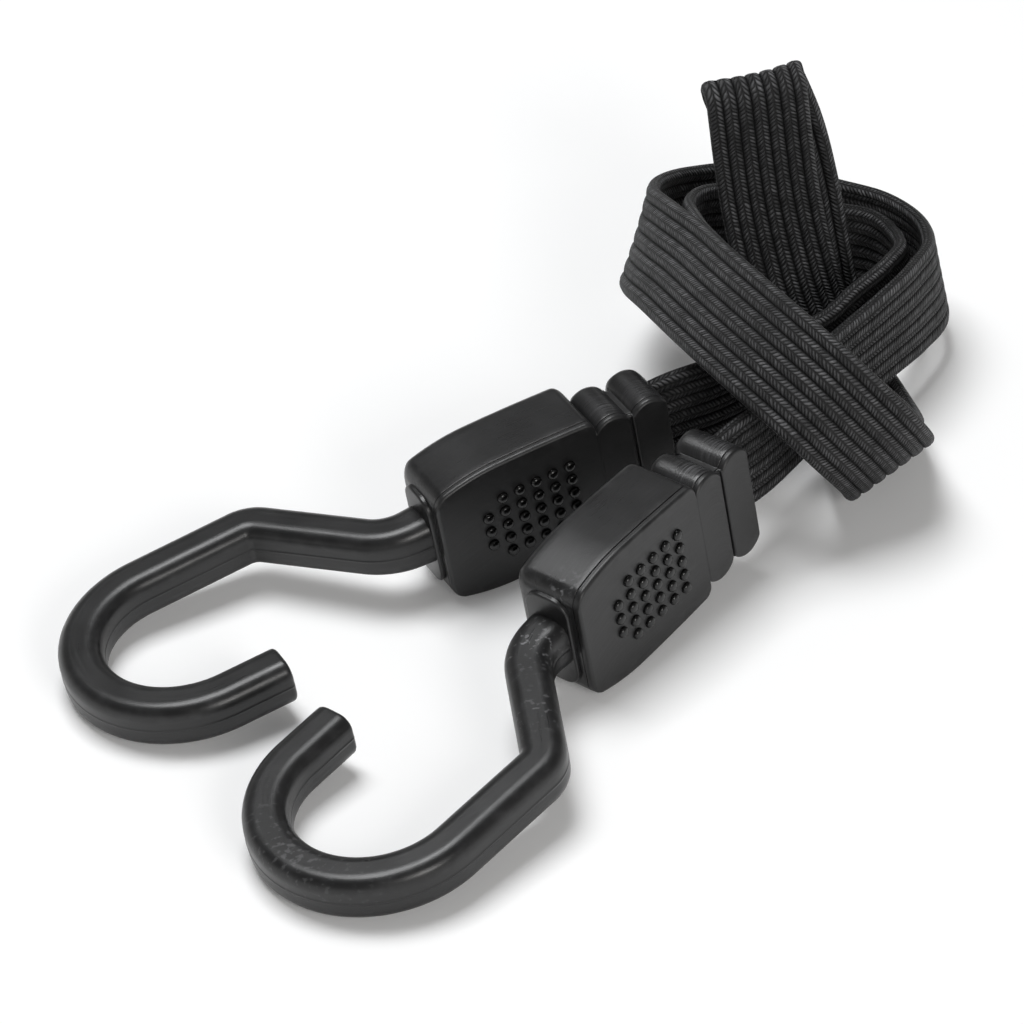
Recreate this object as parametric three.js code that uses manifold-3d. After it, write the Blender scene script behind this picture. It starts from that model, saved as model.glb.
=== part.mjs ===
// A flat bungee cord: an elastic strap with a moulded hook fitting at each end, doubled and loosely knotted.
// Millimetres, +Z up. The origin is on the table, under the middle of the two end fittings.
import * as THREE from "three";
import { mergeVertices } from "three/addons/utils/BufferGeometryUtils.js";
import Module from "manifold-3d";

const wasm = await Module();
wasm.setup();

// Clearance between pieces that touch
const GAP = 0.3;

// Facets of the round forms
const EDGE_STEPS = 3;
const CORNER_STEPS = 4;
const ROD_CORNER_STEPS = 2;
const BARREL_STEPS = 10;
const LOBE_STEPS = 8;
const DOT_SIDES = 7;
const WIRE_SIDES = 8;
const HEAD_SIDES = 16;

// Strap
const STRAP_WIDTH = 18;
const STRAP_THICKNESS = 2.4;
const STRAP_BEVEL = 0.6;
const STRAP_STEP = 3.6;
const CURVE_STEPS = 12;
const TANGENT_REACH = 0.5;

// Housing: a deep tub closed by a flat cover, standing on its narrow side
const BODY_LENGTH = 30;
const BODY_THICKNESS = 13.4;
const BODY_WIDTH = 25.2;
const FRONT_WIDTH = 20.8;
const REAR_WIDTH = 24;
const WIDEST_PLACE = 12;
const FRONT_CORNER = 2.8;
const REAR_CORNER = 3;
const TUB_EDGE = 1.8;
const TUB_WALL = 1.5;
const FRONT_WALL = 2;
const COVER_THICKNESS = 1.5;

// Strain relief: two rounded lobes behind the body, joined by a narrower neck
const LOBE_COUNT = 2;
const LOBE_LENGTH = 6.4;
const LOBE_PITCH = 6.7;
const LOBE_WIDTH = 22;
const LOBE_BACK = 4;
const LOBE_EDGE = 2.6;
const LOBE_FACE_DROP = 0.3;
const NECK_WIDTH = 20;
const NECK_BACK = 3;
const NECK_FACE_DROP = 1;

// Grip dots on the cover; the first column has only its middle dots
const DOT_COLUMNS = 6;
const DOT_ROWS = 5;
const DOT_PITCH_ALONG = 3.14;
const DOT_PITCH_ACROSS = 2.86;
const DOT_RADIUS = 0.95;
const DOT_TOP_RADIUS = 0.5;
const DOT_HEIGHT = 0.5;
const DOT_CENTRE = 16.4;
const FIRST_COLUMN_ROWS = 3;

// Hook: a rounded rectangular nylon rod over a steel core, bent in one plane
const ROD_WIDTH = 7.4;
const ROD_HEIGHT = 8.3;
const ROD_CORNER = 2.5;
const SHANK_LENGTH = 7;
const SHANK_ANGLE = 47.5;
const SHANK_BEND = 9.8;
const OBLIQUE_LENGTH = 24.9;
const OUTER_ANGLE = -1.8;
const OUTER_BEND = 5;
const OUTER_LENGTH = 20.9;
const BOW_RADIUS = 17;
const BOW_SWEEP = 178.7;
const TIP_LENGTH = 10;
const TIP_CHAMFER = 1.3;
const ARC_STEP = 11;

// Hook root, held in the front of the housing, and the flange outside it
const FLANGE_HEIGHT = 18.6;
const FLANGE_DEPTH = 9.2;
const FLANGE_CORNER = 3.6;
const FLANGE_THICKNESS = 1;
const ROOT_NECK_WIDTH = 12;
const ROOT_WIDTH = 15;
const ROOT_LENGTH = 7.7;

// Steel core of the hook, with a round head behind the root
const CORE_DIAMETER = 4;
const CORE_TIP_COVER = 6;
const HEAD_DIAMETER = 7.5;
const HEAD_THICKNESS = 2;

// Steel clip folded over the cut end of the strap
const CLIP_PLACE = 16.3;
const CLIP_LENGTH = 8;
const CLIP_WALL = 0.8;
const CLIP_WIDTH = 17;

// Where the two fittings lie: front of the housing's axis, its heading to the rear, how far it leans over,
// and the side the hook bends to. Each dips toward its hook, so it stands on its housing and on the bow.
const DIP = 6.65;
const FITTINGS = {
  a: { x: 3.33, y: 30.91, heading: 25.1, lean: 0.8, side: 1 },
  b: { x: 22.73, y: 0.91, heading: 46.8, lean: -1.6, side: -1 },
};

// The two strands from the housings to the knot, on edge: x, y, z. They leave a housing straight for a short
// way, and the first point of each is where it joins the knot.
const LEAD_STRAIGHT = 2;
const LEAD_A = [
  [53.0, 54.8, 16.2],
  [59.4, 59.6, 15.8],
  [65.3, 63.8, 15.9],
];
const LEAD_B = [
  [59.4, 40.4, 16.2],
  [64.2, 46.9, 15.8],
  [69.0, 53.3, 15.9],
];

// The doubled strap of the knot, as its middle line: x, y, z, the strap's width direction, the distance
// between the two strands, and how far they slip sideways on each other.
const KNOT = [
  // from the leads, on edge, round the right of the ring and along its far side
  [73.7, 63.0, 16.3, -0.09, -0.05, 0.99, 5.6, 0],
  [81.0, 70.7, 16.8, -0.09, -0.04, 0.99, 5.4, 0],
  [87.6, 79.5, 15.9, -0.14, -0.05, 0.99, 5, 0],
  [91.7, 89.2, 14.0, -0.16, -0.05, 0.99, 5, 0],
  [90.9, 97.0, 13.1, -0.14, -0.05, 0.99, 5.2, 0],
  [86.6, 102.4, 13.4, -0.09, -0.04, 1.00, 5.4, 0],
  [79.0, 105.8, 14.2, -0.09, -0.04, 1.00, 6.6, 0],
  [69.2, 109.2, 15.3, -0.09, -0.04, 0.99, 7.8, 0],
  // the wide bend on the left, leaning over as it comes forward
  [61.0, 110.0, 16.0, -0.05, 0.03, 1.00, 8.6, 0],
  [54.8, 107.6, 17.4, 0.05, 0.10, 0.99, 8.8, 0],
  [49.9, 102.4, 19.8, 0.21, 0.30, 0.93, 8.2, 0],
  [46.9, 94.9, 22.6, 0.35, 0.45, 0.82, 6.8, 0],
  [46.8, 84.3, 26.7, 0.53, 0.48, 0.70, 5.2, 0],
  // draped over the two leads and down in front
  [49.4, 71.9, 30.5, 0.68, 0.43, 0.59, 4, 0],
  [52.9, 59.4, 33.7, 0.68, 0.42, 0.60, 3.4, 0],
  [57.2, 48.5, 35.1, 0.68, 0.41, 0.60, 3.3, 0],
  [62.2, 39.8, 34.4, 0.68, 0.42, 0.60, 3.3, 0],
  [67.9, 35.6, 30.0, 0.72, 0.41, 0.56, 3.3, 0],
  [73.5, 36.0, 22.9, 0.80, 0.33, 0.51, 3.3, 0],
  [77.8, 38.7, 16.0, 0.84, 0.29, 0.45, 3.3, 0],
  // folded under, flat along the table beneath the leads
  [79.9, 43.1, 10.4, 0.85, 0.31, 0.43, 3.4, 0],
  [80.0, 47.5, 7.5, 0.86, 0.32, 0.40, 3.6, 0],
  [79.9, 54.2, 5.0, 0.94, 0.29, 0.19, 3.6, 0],
  [78.9, 62.7, 3.5, 0.96, 0.28, 0.02, 3.4, 0],
  [76.0, 74.4, 3.3, 0.97, 0.25, 0, 3.4, 0],
  // up through the ring to the bight
  [73.2, 82.3, 5.4, 0.97, 0.24, 0, 3.6, 1.4],
  [71.3, 86.9, 11.4, 0.98, 0.21, 0, 3.6, 3],
  [69.5, 90.7, 20.5, 0.98, 0.21, 0, 3.3, 4],
  [68.0, 94.3, 30.2, 0.98, 0.22, 0, 3.3, 4.4],
  [66.6, 96.8, 39.6, 0.98, 0.22, 0, 3.5, 3.4],
  [65.1, 97.5, 47.2, 0.97, 0.22, 0, 3.5, 1.4],
  [64.5, 98.0, 50.0, 0.97, 0.23, 0, 3.4, 0.68],
];
const BIGHT_TURN = [45, 90, 135];

// Sizes that follow from the ones above
const BODY_HALF = BODY_THICKNESS / 2;
const COVER_INNER = -BODY_HALF + COVER_THICKNESS;
const RIM = COVER_INNER + GAP;
const POCKET_FLOOR = BODY_HALF - TUB_WALL;
const ROOT_HALF = POCKET_FLOOR - GAP;
const ROOT_START = FRONT_WALL + GAP;
const ROOT_END = ROOT_START + ROOT_LENGTH;
const HEAD_START = ROOT_END + GAP;
const HEAD_END = HEAD_START + HEAD_THICKNESS;
const STRAP_HALF = STRAP_THICKNESS / 2;
const STRAP_SEAT = STRAP_HALF + GAP;
const CLIP_HALF = STRAP_SEAT + CLIP_WALL;
const CLIP_SEAT = CLIP_HALF + GAP;
const CLIP_END = CLIP_PLACE + CLIP_LENGTH;
const STRAP_END = CLIP_PLACE + CLIP_WALL + GAP;
const SLOT_WIDTH = STRAP_WIDTH + 2 * GAP;
const LOBE_START = BODY_LENGTH + LOBE_LENGTH / 2;
const MOUTH = LOBE_START + (LOBE_COUNT - 1) * LOBE_PITCH + LOBE_LENGTH / 2;

const radians = THREE.MathUtils.degToRad;

// Solids and their booleans

function solid(geometry) {
  const bare = geometry.clone();
  bare.deleteAttribute("normal");
  bare.deleteAttribute("uv");
  const merged = mergeVertices(bare, 1e-4);
  const vertProperties = new Float32Array(merged.attributes.position.array);
  const triVerts = new Uint32Array(merged.index.array);
  return new wasm.Manifold(new wasm.Mesh({ numProp: 3, vertProperties, triVerts }));
}

function geometryOf(manifold) {
  const mesh = manifold.getMesh();
  const geometry = new THREE.BufferGeometry();
  geometry.setAttribute("position", new THREE.BufferAttribute(mesh.vertProperties, 3));
  geometry.setIndex(new THREE.BufferAttribute(mesh.triVerts, 1));
  geometry.computeVertexNormals();
  return geometry;
}

function joined(geometries) {
  return geometries.map(solid).reduce((whole, piece) => whole.add(piece));
}

// A box between two corners in the fitting's own axes
function block(low, high) {
  const size = high.map((value, i) => value - low[i]);
  const middle = high.map((value, i) => (value + low[i]) / 2);
  return new THREE.BoxGeometry(...size).translate(...middle);
}

// A section carried along a list of frames and closed at both ends
function sweep(frames, section) {
  const count = section.length;
  const points = [];
  for (const frame of frames) {
    const scale = frame.scale ?? 1;
    for (const [a, b] of section) {
      const point = frame.origin.clone();
      point.addScaledVector(frame.across, a * scale);
      point.addScaledVector(frame.up, b * scale);
      points.push(point.x, point.y, point.z);
    }
  }
  const faces = [];
  for (let ring = 0; ring + 1 < frames.length; ring += 1) {
    for (let i = 0; i < count; i += 1) {
      const here = ring * count + i;
      const next = ring * count + ((i + 1) % count);
      faces.push(here, next, next + count, here, next + count, here + count);
    }
  }
  const last = (frames.length - 1) * count;
  for (let i = 1; i + 1 < count; i += 1) {
    faces.push(0, i + 1, i, last, last + i, last + i + 1);
  }
  const geometry = new THREE.BufferGeometry();
  geometry.setAttribute("position", new THREE.Float32BufferAttribute(points, 3));
  geometry.setIndex(faces);
  geometry.computeVertexNormals();
  return geometry;
}

// A plate in the fitting's broad plane, from one depth to another, with its edges rounded by the given amount
function plate(outline, near, far, edge = 0) {
  const shape = new THREE.Shape(outline);
  const geometry = new THREE.ExtrudeGeometry(shape, {
    depth: far - near - 2 * edge,
    bevelEnabled: edge > 0,
    bevelThickness: edge,
    bevelSize: edge,
    bevelOffset: -edge,
    bevelSegments: EDGE_STEPS,
  });
  return geometry.rotateX(Math.PI / 2).translate(0, far - edge, 0);
}

function arcPoints(x, y, radius, from, to, steps) {
  const points = [];
  for (let i = 0; i <= steps; i += 1) {
    const angle = radians(from + ((to - from) * i) / steps);
    points.push(new THREE.Vector2(x + radius * Math.cos(angle), y + radius * Math.sin(angle)));
  }
  return points;
}

function mirrored(points) {
  const lower = points.map((point) => new THREE.Vector2(point.x, -point.y));
  return [...points, ...lower.reverse()];
}

// Housing

// Half width of the body's barrel side at a place along it: two half parabolas from its widest place
function bodyHalfWidth(along) {
  const ahead = Math.max(0, 1 - along / WIDEST_PLACE);
  const behind = Math.max(0, (along - WIDEST_PLACE) / (BODY_LENGTH - WIDEST_PLACE));
  const narrowing = (BODY_WIDTH - FRONT_WIDTH) * ahead ** 2 + (BODY_WIDTH - REAR_WIDTH) * behind ** 2;
  return (BODY_WIDTH - narrowing) / 2;
}

function bodyOutline() {
  const side = [];
  const first = FRONT_CORNER;
  const last = BODY_LENGTH - REAR_CORNER;
  for (let i = 1; i < BARREL_STEPS; i += 1) {
    const along = first + ((last - first) * i) / BARREL_STEPS;
    side.push(new THREE.Vector2(along, bodyHalfWidth(along)));
  }
  const front = arcPoints(first, bodyHalfWidth(first) - FRONT_CORNER, FRONT_CORNER, 180, 90, EDGE_STEPS);
  const rear = arcPoints(last, bodyHalfWidth(last) - REAR_CORNER, REAR_CORNER, 90, 0, CORNER_STEPS);
  return mirrored([...front, ...side, ...rear]);
}

function lobeOutline(middle) {
  const radius = LOBE_LENGTH / 2;
  return mirrored(arcPoints(middle, LOBE_WIDTH / 2 - radius, radius, 180, 0, LOBE_STEPS));
}

function rectangle(start, end, width) {
  return mirrored([new THREE.Vector2(start, width / 2), new THREE.Vector2(end, width / 2)]);
}

function lobeMiddles() {
  return Array.from({ length: LOBE_COUNT }, (_, i) => LOBE_START + i * LOBE_PITCH);
}

function makeTub() {
  const below = -BODY_HALF - TUB_EDGE - LOBE_EDGE;
  const shell = [plate(bodyOutline(), below, BODY_HALF, TUB_EDGE)];
  const neck = rectangle(BODY_LENGTH - REAR_CORNER, MOUTH - LOBE_LENGTH / 2, NECK_WIDTH);
  shell.push(plate(neck, below, NECK_BACK));
  for (const middle of lobeMiddles()) {
    shell.push(plate(lobeOutline(middle), below, LOBE_BACK, LOBE_EDGE));
  }
  const open = below - GAP;
  const neckHalf = ROOT_NECK_WIDTH / 2 + GAP;
  const rootHalf = ROOT_WIDTH / 2 + GAP;
  const headHalf = HEAD_DIAMETER / 2 + GAP;
  const clipHalf = CLIP_WIDTH / 2 + GAP;
  const slotHalf = SLOT_WIDTH / 2;
  const hollow = [
    block([-BODY_LENGTH, open, -BODY_WIDTH], [2 * MOUTH, RIM, BODY_WIDTH]),
    block([-FRONT_WALL, open, -neckHalf], [ROOT_START, POCKET_FLOOR, neckHalf]),
    block([FRONT_WALL, open, -rootHalf], [ROOT_END + GAP, POCKET_FLOOR, rootHalf]),
    block([ROOT_END, open, -headHalf], [HEAD_END + GAP, headHalf, headHalf]),
    block([CLIP_PLACE - GAP, open, -clipHalf], [CLIP_END + GAP, CLIP_SEAT, clipHalf]),
    block([STRAP_END - GAP, open, -slotHalf], [2 * MOUTH, STRAP_SEAT, slotHalf]),
  ];
  return geometryOf(joined(shell).subtract(joined(hollow)));
}

function dot(along, across) {
  const geometry = new THREE.CylinderGeometry(DOT_RADIUS, DOT_TOP_RADIUS, DOT_HEIGHT + GAP, DOT_SIDES);
  return geometry.translate(along, -BODY_HALF + (GAP - DOT_HEIGHT) / 2, across);
}

function gripDots() {
  const dots = [];
  for (let column = 0; column < DOT_COLUMNS; column += 1) {
    const rows = column === 0 ? FIRST_COLUMN_ROWS : DOT_ROWS;
    const along = DOT_CENTRE + (column - (DOT_COLUMNS - 1) / 2) * DOT_PITCH_ALONG;
    for (let row = 0; row < rows; row += 1) {
      dots.push(dot(along, (row - (rows - 1) / 2) * DOT_PITCH_ACROSS));
    }
  }
  return dots;
}

function makeCover() {
  const face = -BODY_HALF;
  const pieces = [plate(bodyOutline(), face, COVER_INNER)];
  const neck = rectangle(BODY_LENGTH - REAR_CORNER, MOUTH - LOBE_LENGTH / 2, NECK_WIDTH);
  pieces.push(plate(neck, face + NECK_FACE_DROP, COVER_INNER));
  for (const middle of lobeMiddles()) {
    pieces.push(plate(lobeOutline(middle), face + LOBE_FACE_DROP, COVER_INNER));
  }
  // pads that reach in to the clip and to the strap
  const padHalf = STRAP_WIDTH / 2 - GAP;
  const clipHalf = CLIP_WIDTH / 2;
  const lap = COVER_INNER - COVER_THICKNESS / 2;
  pieces.push(block([CLIP_PLACE, lap, -clipHalf], [CLIP_END + GAP, -CLIP_SEAT, clipHalf]));
  pieces.push(block([CLIP_END + GAP, lap, -padHalf], [MOUTH - LOBE_LENGTH / 2, -STRAP_SEAT, padHalf]));
  return geometryOf(joined([...pieces, ...gripDots()]));
}

// Hook

// Places along the hook's bent line, each with its direction: x is away from the housing, y the bend's side
function hookLine(start, tipCut) {
  const places = [];
  const at = new THREE.Vector2(start, 0);
  let heading = 0;
  const mark = () => places.push({ x: at.x, y: at.y, heading });
  const straight = (length) => {
    at.x += length * Math.cos(heading);
    at.y += length * Math.sin(heading);
    mark();
  };
  const turn = (radius, degrees) => {
    const steps = Math.ceil(Math.abs(degrees) / ARC_STEP);
    const each = radians(degrees) / steps;
    const chord = 2 * radius * Math.sin(Math.abs(each) / 2);
    for (let i = 0; i < steps; i += 1) {
      at.x += chord * Math.cos(heading + each / 2);
      at.y += chord * Math.sin(heading + each / 2);
      heading += each;
      mark();
    }
  };
  const back = OUTER_ANGLE - SHANK_ANGLE;
  const shankTrim = SHANK_BEND * Math.tan(radians(SHANK_ANGLE) / 2);
  const outerTrim = OUTER_BEND * Math.tan(radians(-back) / 2);
  mark();
  straight(SHANK_LENGTH - shankTrim - start);
  turn(SHANK_BEND, SHANK_ANGLE);
  straight(OBLIQUE_LENGTH - shankTrim - outerTrim);
  turn(OUTER_BEND, back);
  straight(OUTER_LENGTH - outerTrim);
  turn(BOW_RADIUS, -BOW_SWEEP);
  straight(TIP_LENGTH - tipCut);
  return places;
}

function hookFrames(places, side) {
  return places.map(({ x, y, heading }) => ({
    origin: new THREE.Vector3(-x, side * y, 0),
    along: new THREE.Vector3(-Math.cos(heading), side * Math.sin(heading), 0),
    across: new THREE.Vector3(Math.sin(heading), side * Math.cos(heading), 0),
    up: new THREE.Vector3(0, 0, -side),
  }));
}

function rodSection() {
  const inner = [ROD_WIDTH / 2 - ROD_CORNER, ROD_HEIGHT / 2 - ROD_CORNER];
  const corners = [[1, 1, 0], [-1, 1, 90], [-1, -1, 180], [1, -1, 270]];
  return corners.flatMap(([x, y, from]) => {
    const arc = arcPoints(x * inner[0], y * inner[1], ROD_CORNER, from, from + 90, ROD_CORNER_STEPS);
    return arc.map((point) => [point.x, point.y]);
  });
}

function wireSection(diameter) {
  const last = 360 - 360 / WIRE_SIDES;
  return arcPoints(0, 0, diameter / 2, 0, last, WIRE_SIDES - 1).map((point) => [point.x, point.y]);
}

function makeHook(side) {
  const start = GAP + FLANGE_THICKNESS / 2;
  const rod = hookFrames(hookLine(start, TIP_CHAMFER), side);
  const end = rod.at(-1);
  const face = end.origin.clone().addScaledVector(end.along, TIP_CHAMFER);
  rod.push({ ...end, origin: face, scale: 1 - (2 * TIP_CHAMFER) / ROD_HEIGHT });
  const flange = new THREE.Shape(roundedRectangle(FLANGE_DEPTH, FLANGE_HEIGHT, FLANGE_CORNER));
  const flangePlate = new THREE.ExtrudeGeometry(flange, { depth: FLANGE_THICKNESS, bevelEnabled: false });
  flangePlate.rotateX(Math.PI / 2).rotateZ(Math.PI / 2).translate(-GAP - FLANGE_THICKNESS, 0, 0);
  const neckHalf = ROOT_NECK_WIDTH / 2;
  const rootHalf = ROOT_WIDTH / 2;
  const pieces = [
    sweep(rod, rodSection()),
    flangePlate,
    block([-GAP - FLANGE_THICKNESS / 2, -ROOT_HALF, -neckHalf], [ROOT_START + GAP, ROOT_HALF, neckHalf]),
    block([ROOT_START, -ROOT_HALF, -rootHalf], [ROOT_END, ROOT_HALF, rootHalf]),
  ];
  const bore = hookFrames(hookLine(-ROOT_END - GAP, CORE_TIP_COVER - GAP), side);
  return geometryOf(joined(pieces).subtract(solid(sweep(bore, wireSection(CORE_DIAMETER + 2 * GAP)))));
}

function roundedRectangle(width, height, corner) {
  const x = width / 2 - corner;
  const y = height / 2 - corner;
  return [
    ...arcPoints(x, y, corner, 0, 90, CORNER_STEPS),
    ...arcPoints(-x, y, corner, 90, 180, CORNER_STEPS),
    ...arcPoints(-x, -y, corner, 180, 270, CORNER_STEPS),
    ...arcPoints(x, -y, corner, 270, 360, CORNER_STEPS),
  ];
}

function makeCore(side) {
  const wire = sweep(hookFrames(hookLine(-HEAD_END, CORE_TIP_COVER), side), wireSection(CORE_DIAMETER));
  const head = new THREE.CylinderGeometry(HEAD_DIAMETER / 2, HEAD_DIAMETER / 2, HEAD_THICKNESS, HEAD_SIDES);
  head.rotateZ(Math.PI / 2).translate(HEAD_START + HEAD_THICKNESS / 2, 0, 0);
  return geometryOf(joined([wire, head]));
}

// Steel clip: a U that holds both faces of the strap at its cut end
function makeClip() {
  const shape = new THREE.Shape();
  shape.moveTo(CLIP_PLACE, -CLIP_HALF);
  shape.lineTo(CLIP_END, -CLIP_HALF);
  shape.lineTo(CLIP_END, -STRAP_SEAT);
  shape.lineTo(CLIP_PLACE + CLIP_WALL, -STRAP_SEAT);
  shape.lineTo(CLIP_PLACE + CLIP_WALL, STRAP_SEAT);
  shape.lineTo(CLIP_END, STRAP_SEAT);
  shape.lineTo(CLIP_END, CLIP_HALF);
  shape.lineTo(CLIP_PLACE, CLIP_HALF);
  const geometry = new THREE.ExtrudeGeometry(shape, { depth: CLIP_WIDTH, bevelEnabled: false });
  return geometry.translate(0, 0, -CLIP_WIDTH / 2);
}

// Strap

function strapSection() {
  const edge = STRAP_WIDTH / 2;
  const face = STRAP_HALF;
  const inset = STRAP_BEVEL;
  return [
    [edge, face - inset],
    [edge - inset, face],
    [inset - edge, face],
    [-edge, face - inset],
    [-edge, inset - face],
    [inset - edge, -face],
    [edge - inset, -face],
    [edge, inset - face],
  ];
}

// The strap's end inside the housing
function makeTail() {
  const frame = (along) => ({
    origin: new THREE.Vector3(along, 0, 0),
    across: new THREE.Vector3(0, 0, 1),
    up: new THREE.Vector3(0, -1, 0),
  });
  return sweep([frame(STRAP_END), frame(MOUTH)], strapSection());
}

// A station of the strap: a place and its width direction
function station(place, across) {
  return { place, across: across.clone().normalize() };
}

// A lead: straight out of the housing's mouth, then through its points
function leadStations(fitting, points) {
  const straight = [MOUTH + GAP, MOUTH + GAP + LEAD_STRAIGHT].map((reach) => {
    return fitting.localToWorld(new THREE.Vector3(reach, 0, 0));
  });
  const across = new THREE.Vector3(0, 0, 1).transformDirection(fitting.matrixWorld);
  const places = [...straight, ...points.map((point) => new THREE.Vector3(...point))];
  return places.map((place) => station(place, across));
}

// The two strands of the doubled strap and the turn that joins them at the bight
function knotStations() {
  const middles = KNOT.map(([x, y, z]) => new THREE.Vector3(x, y, z));
  const first = [];
  const second = [];
  let turn = [];
  KNOT.forEach(([, , , wx, wy, wz, spacing, slip], i) => {
    const before = middles[Math.max(i - 1, 0)];
    const after = middles[Math.min(i + 1, middles.length - 1)];
    const across = new THREE.Vector3(wx, wy, wz).normalize();
    const along = after.clone().sub(before).normalize();
    const normal = along.clone().cross(across).normalize();
    const apart = normal.clone().multiplyScalar(spacing / 2).addScaledVector(across, slip / 2);
    first.push(station(middles[i].clone().sub(apart), across));
    second.push(station(middles[i].clone().add(apart), across));
    turn = BIGHT_TURN.map((angle) => {
      const place = middles[i].clone();
      place.addScaledVector(normal, (-spacing / 2) * Math.cos(radians(angle)));
      place.addScaledVector(along, (spacing / 2) * Math.sin(radians(angle)));
      place.addScaledVector(across, (slip / 2) * (angle / 90 - 1));
      return station(place, across);
    });
  });
  return [...first, ...turn, ...second.reverse()];
}

// A smooth line through stations: cubic pieces whose slopes weigh both neighbours by distance
function smoothLine(stations) {
  const rows = stations.map(({ place, across }) => [...place.toArray(), ...across.toArray()]);
  const spans = [];
  for (let i = 0; i + 1 < rows.length; i += 1) {
    spans.push(stations[i].place.distanceTo(stations[i + 1].place));
  }
  const chord = (i, k) => (rows[i + 1][k] - rows[i][k]) / spans[i];
  const slope = (i, k) => {
    if (i === 0) return chord(0, k);
    if (i === rows.length - 1) return chord(i - 1, k);
    return (chord(i - 1, k) * spans[i] + chord(i, k) * spans[i - 1]) / (spans[i - 1] + spans[i]);
  };
  const line = [];
  const marks = [];
  let length = 0;
  for (let i = 0; i < spans.length; i += 1) {
    for (let step = 0; step <= CURVE_STEPS; step += 1) {
      if (step === 0 && i > 0) continue;
      const u = step / CURVE_STEPS;
      const values = rows[i].map((value, k) => {
        const curve = value * (2 * u ** 3 - 3 * u ** 2 + 1) + rows[i + 1][k] * (3 * u ** 2 - 2 * u ** 3);
        const bend = slope(i, k) * (u ** 3 - 2 * u ** 2 + u) + slope(i + 1, k) * (u ** 3 - u ** 2);
        return curve + bend * spans[i];
      });
      const place = new THREE.Vector3(values[0], values[1], values[2]);
      const across = new THREE.Vector3(values[3], values[4], values[5]);
      if (line.length > 0) length += place.distanceTo(line.at(-1).place);
      if (step === 0) marks.push(length);
      line.push({ place, across, at: length });
    }
    marks.push(length);
  }
  return { line, marks, length };
}

function pointAt(line, at) {
  const next = Math.max(1, line.findIndex((point) => point.at >= at - 1e-9));
  const a = line[next - 1];
  const b = line[next];
  const share = (at - a.at) / (b.at - a.at);
  return { place: a.place.clone().lerp(b.place, share), across: a.across.clone().lerp(b.across, share) };
}

// Frames of the ribbon between two lengths along the line
function ribbonFrames({ line, length }, from, to, step) {
  const count = Math.max(2, Math.round((to - from) / step));
  return Array.from({ length: count + 1 }, (_, i) => {
    const at = from + ((to - from) * i) / count;
    const here = pointAt(line, at);
    const ahead = pointAt(line, Math.min(at + TANGENT_REACH, length)).place;
    const along = ahead.sub(pointAt(line, Math.max(at - TANGENT_REACH, 0)).place).normalize();
    const across = here.across.addScaledVector(along, -here.across.dot(along)).normalize();
    return { at, origin: here.place, across, up: along.clone().cross(across), along };
  });
}

// Least distance from the ribbon's outline to other turns of the ribbon, measured on points
function leastSelfGap(frames, step) {
  const section = strapSection();
  for (let a = step - STRAP_WIDTH / 2; a < STRAP_WIDTH / 2; a += STRAP_THICKNESS) {
    section.push([a, STRAP_HALF], [a, -STRAP_HALF]);
  }
  const near = 4 * STRAP_THICKNESS;
  let least = Infinity;
  for (const frame of frames) {
    for (const [a, b] of section) {
      const point = frame.origin.clone().addScaledVector(frame.across, a).addScaledVector(frame.up, b);
      for (const other of frames) {
        if (Math.abs(other.at - frame.at) < near) continue;
        const offset = point.clone().sub(other.origin);
        if (Math.abs(offset.dot(other.along)) > step) continue;
        const sideways = Math.max(Math.abs(offset.dot(other.across)) - STRAP_WIDTH / 2, 0);
        const outward = Math.max(Math.abs(offset.dot(other.up)) - STRAP_HALF, 0);
        least = Math.min(least, Math.hypot(sideways, outward));
      }
    }
  }
  return least;
}

// Assembly

const nylon = (color, roughness) => new THREE.MeshStandardMaterial({ color, roughness, metalness: 0 });
const steel = () => new THREE.MeshStandardMaterial({ color: 0x8f9296, roughness: 0.35, metalness: 1 });
const webbing = () => new THREE.MeshStandardMaterial({ color: 0x1b1b1c, roughness: 0.9, metalness: 0 });

function mesh(name, geometry, material) {
  const piece = new THREE.Mesh(geometry, material);
  piece.name = name;
  return piece;
}

// One end fitting, set down on the table
function makeFitting(name, { x, y, heading, lean, side }) {
  const fitting = new THREE.Group();
  fitting.add(
    mesh(`housing_tub_${name}`, makeTub(), nylon(0x1d1d1e, 0.45)),
    mesh(`housing_cover_${name}`, makeCover(), nylon(0x1f1f20, 0.45)),
    mesh(`hook_${name}`, makeHook(side), nylon(0x1a1a1b, 0.4)),
    mesh(`hook_core_${name}`, makeCore(side), steel()),
    mesh(`strap_clip_${name}`, makeClip(), steel()),
    mesh(`strap_tail_${name}`, makeTail(), webbing()),
  );
  fitting.rotation.set(radians(lean), radians(-DIP), radians(heading), "ZYX");
  fitting.position.set(x, y, 0);
  fitting.position.z = -new THREE.Box3().setFromObject(fitting, true).min.z;
  fitting.updateMatrixWorld(true);
  return fitting;
}

const fittingA = makeFitting("a", FITTINGS.a);
const fittingB = makeFitting("b", FITTINGS.b);
const leadA = leadStations(fittingA, LEAD_A);
const leadB = leadStations(fittingB, LEAD_B);
const strap = smoothLine([...leadA, ...knotStations(), ...leadB.reverse()]);
const joint = leadA.length - LEAD_A.length;
const knotStart = strap.marks[joint];
const knotEnd = strap.marks.at(-1 - joint);
const ribbon = (from, to) => sweep(ribbonFrames(strap, from, to, STRAP_STEP), strapSection());

const GAP_STEP = 1;
const knotGap = leastSelfGap(ribbonFrames(strap, 0, strap.length, GAP_STEP), GAP_STEP / 2);
console.log(`strap outside the housings ${strap.length.toFixed(1)} mm`);
console.log(`least gap of the strap to itself ${knotGap.toFixed(2)} mm`);

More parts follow.
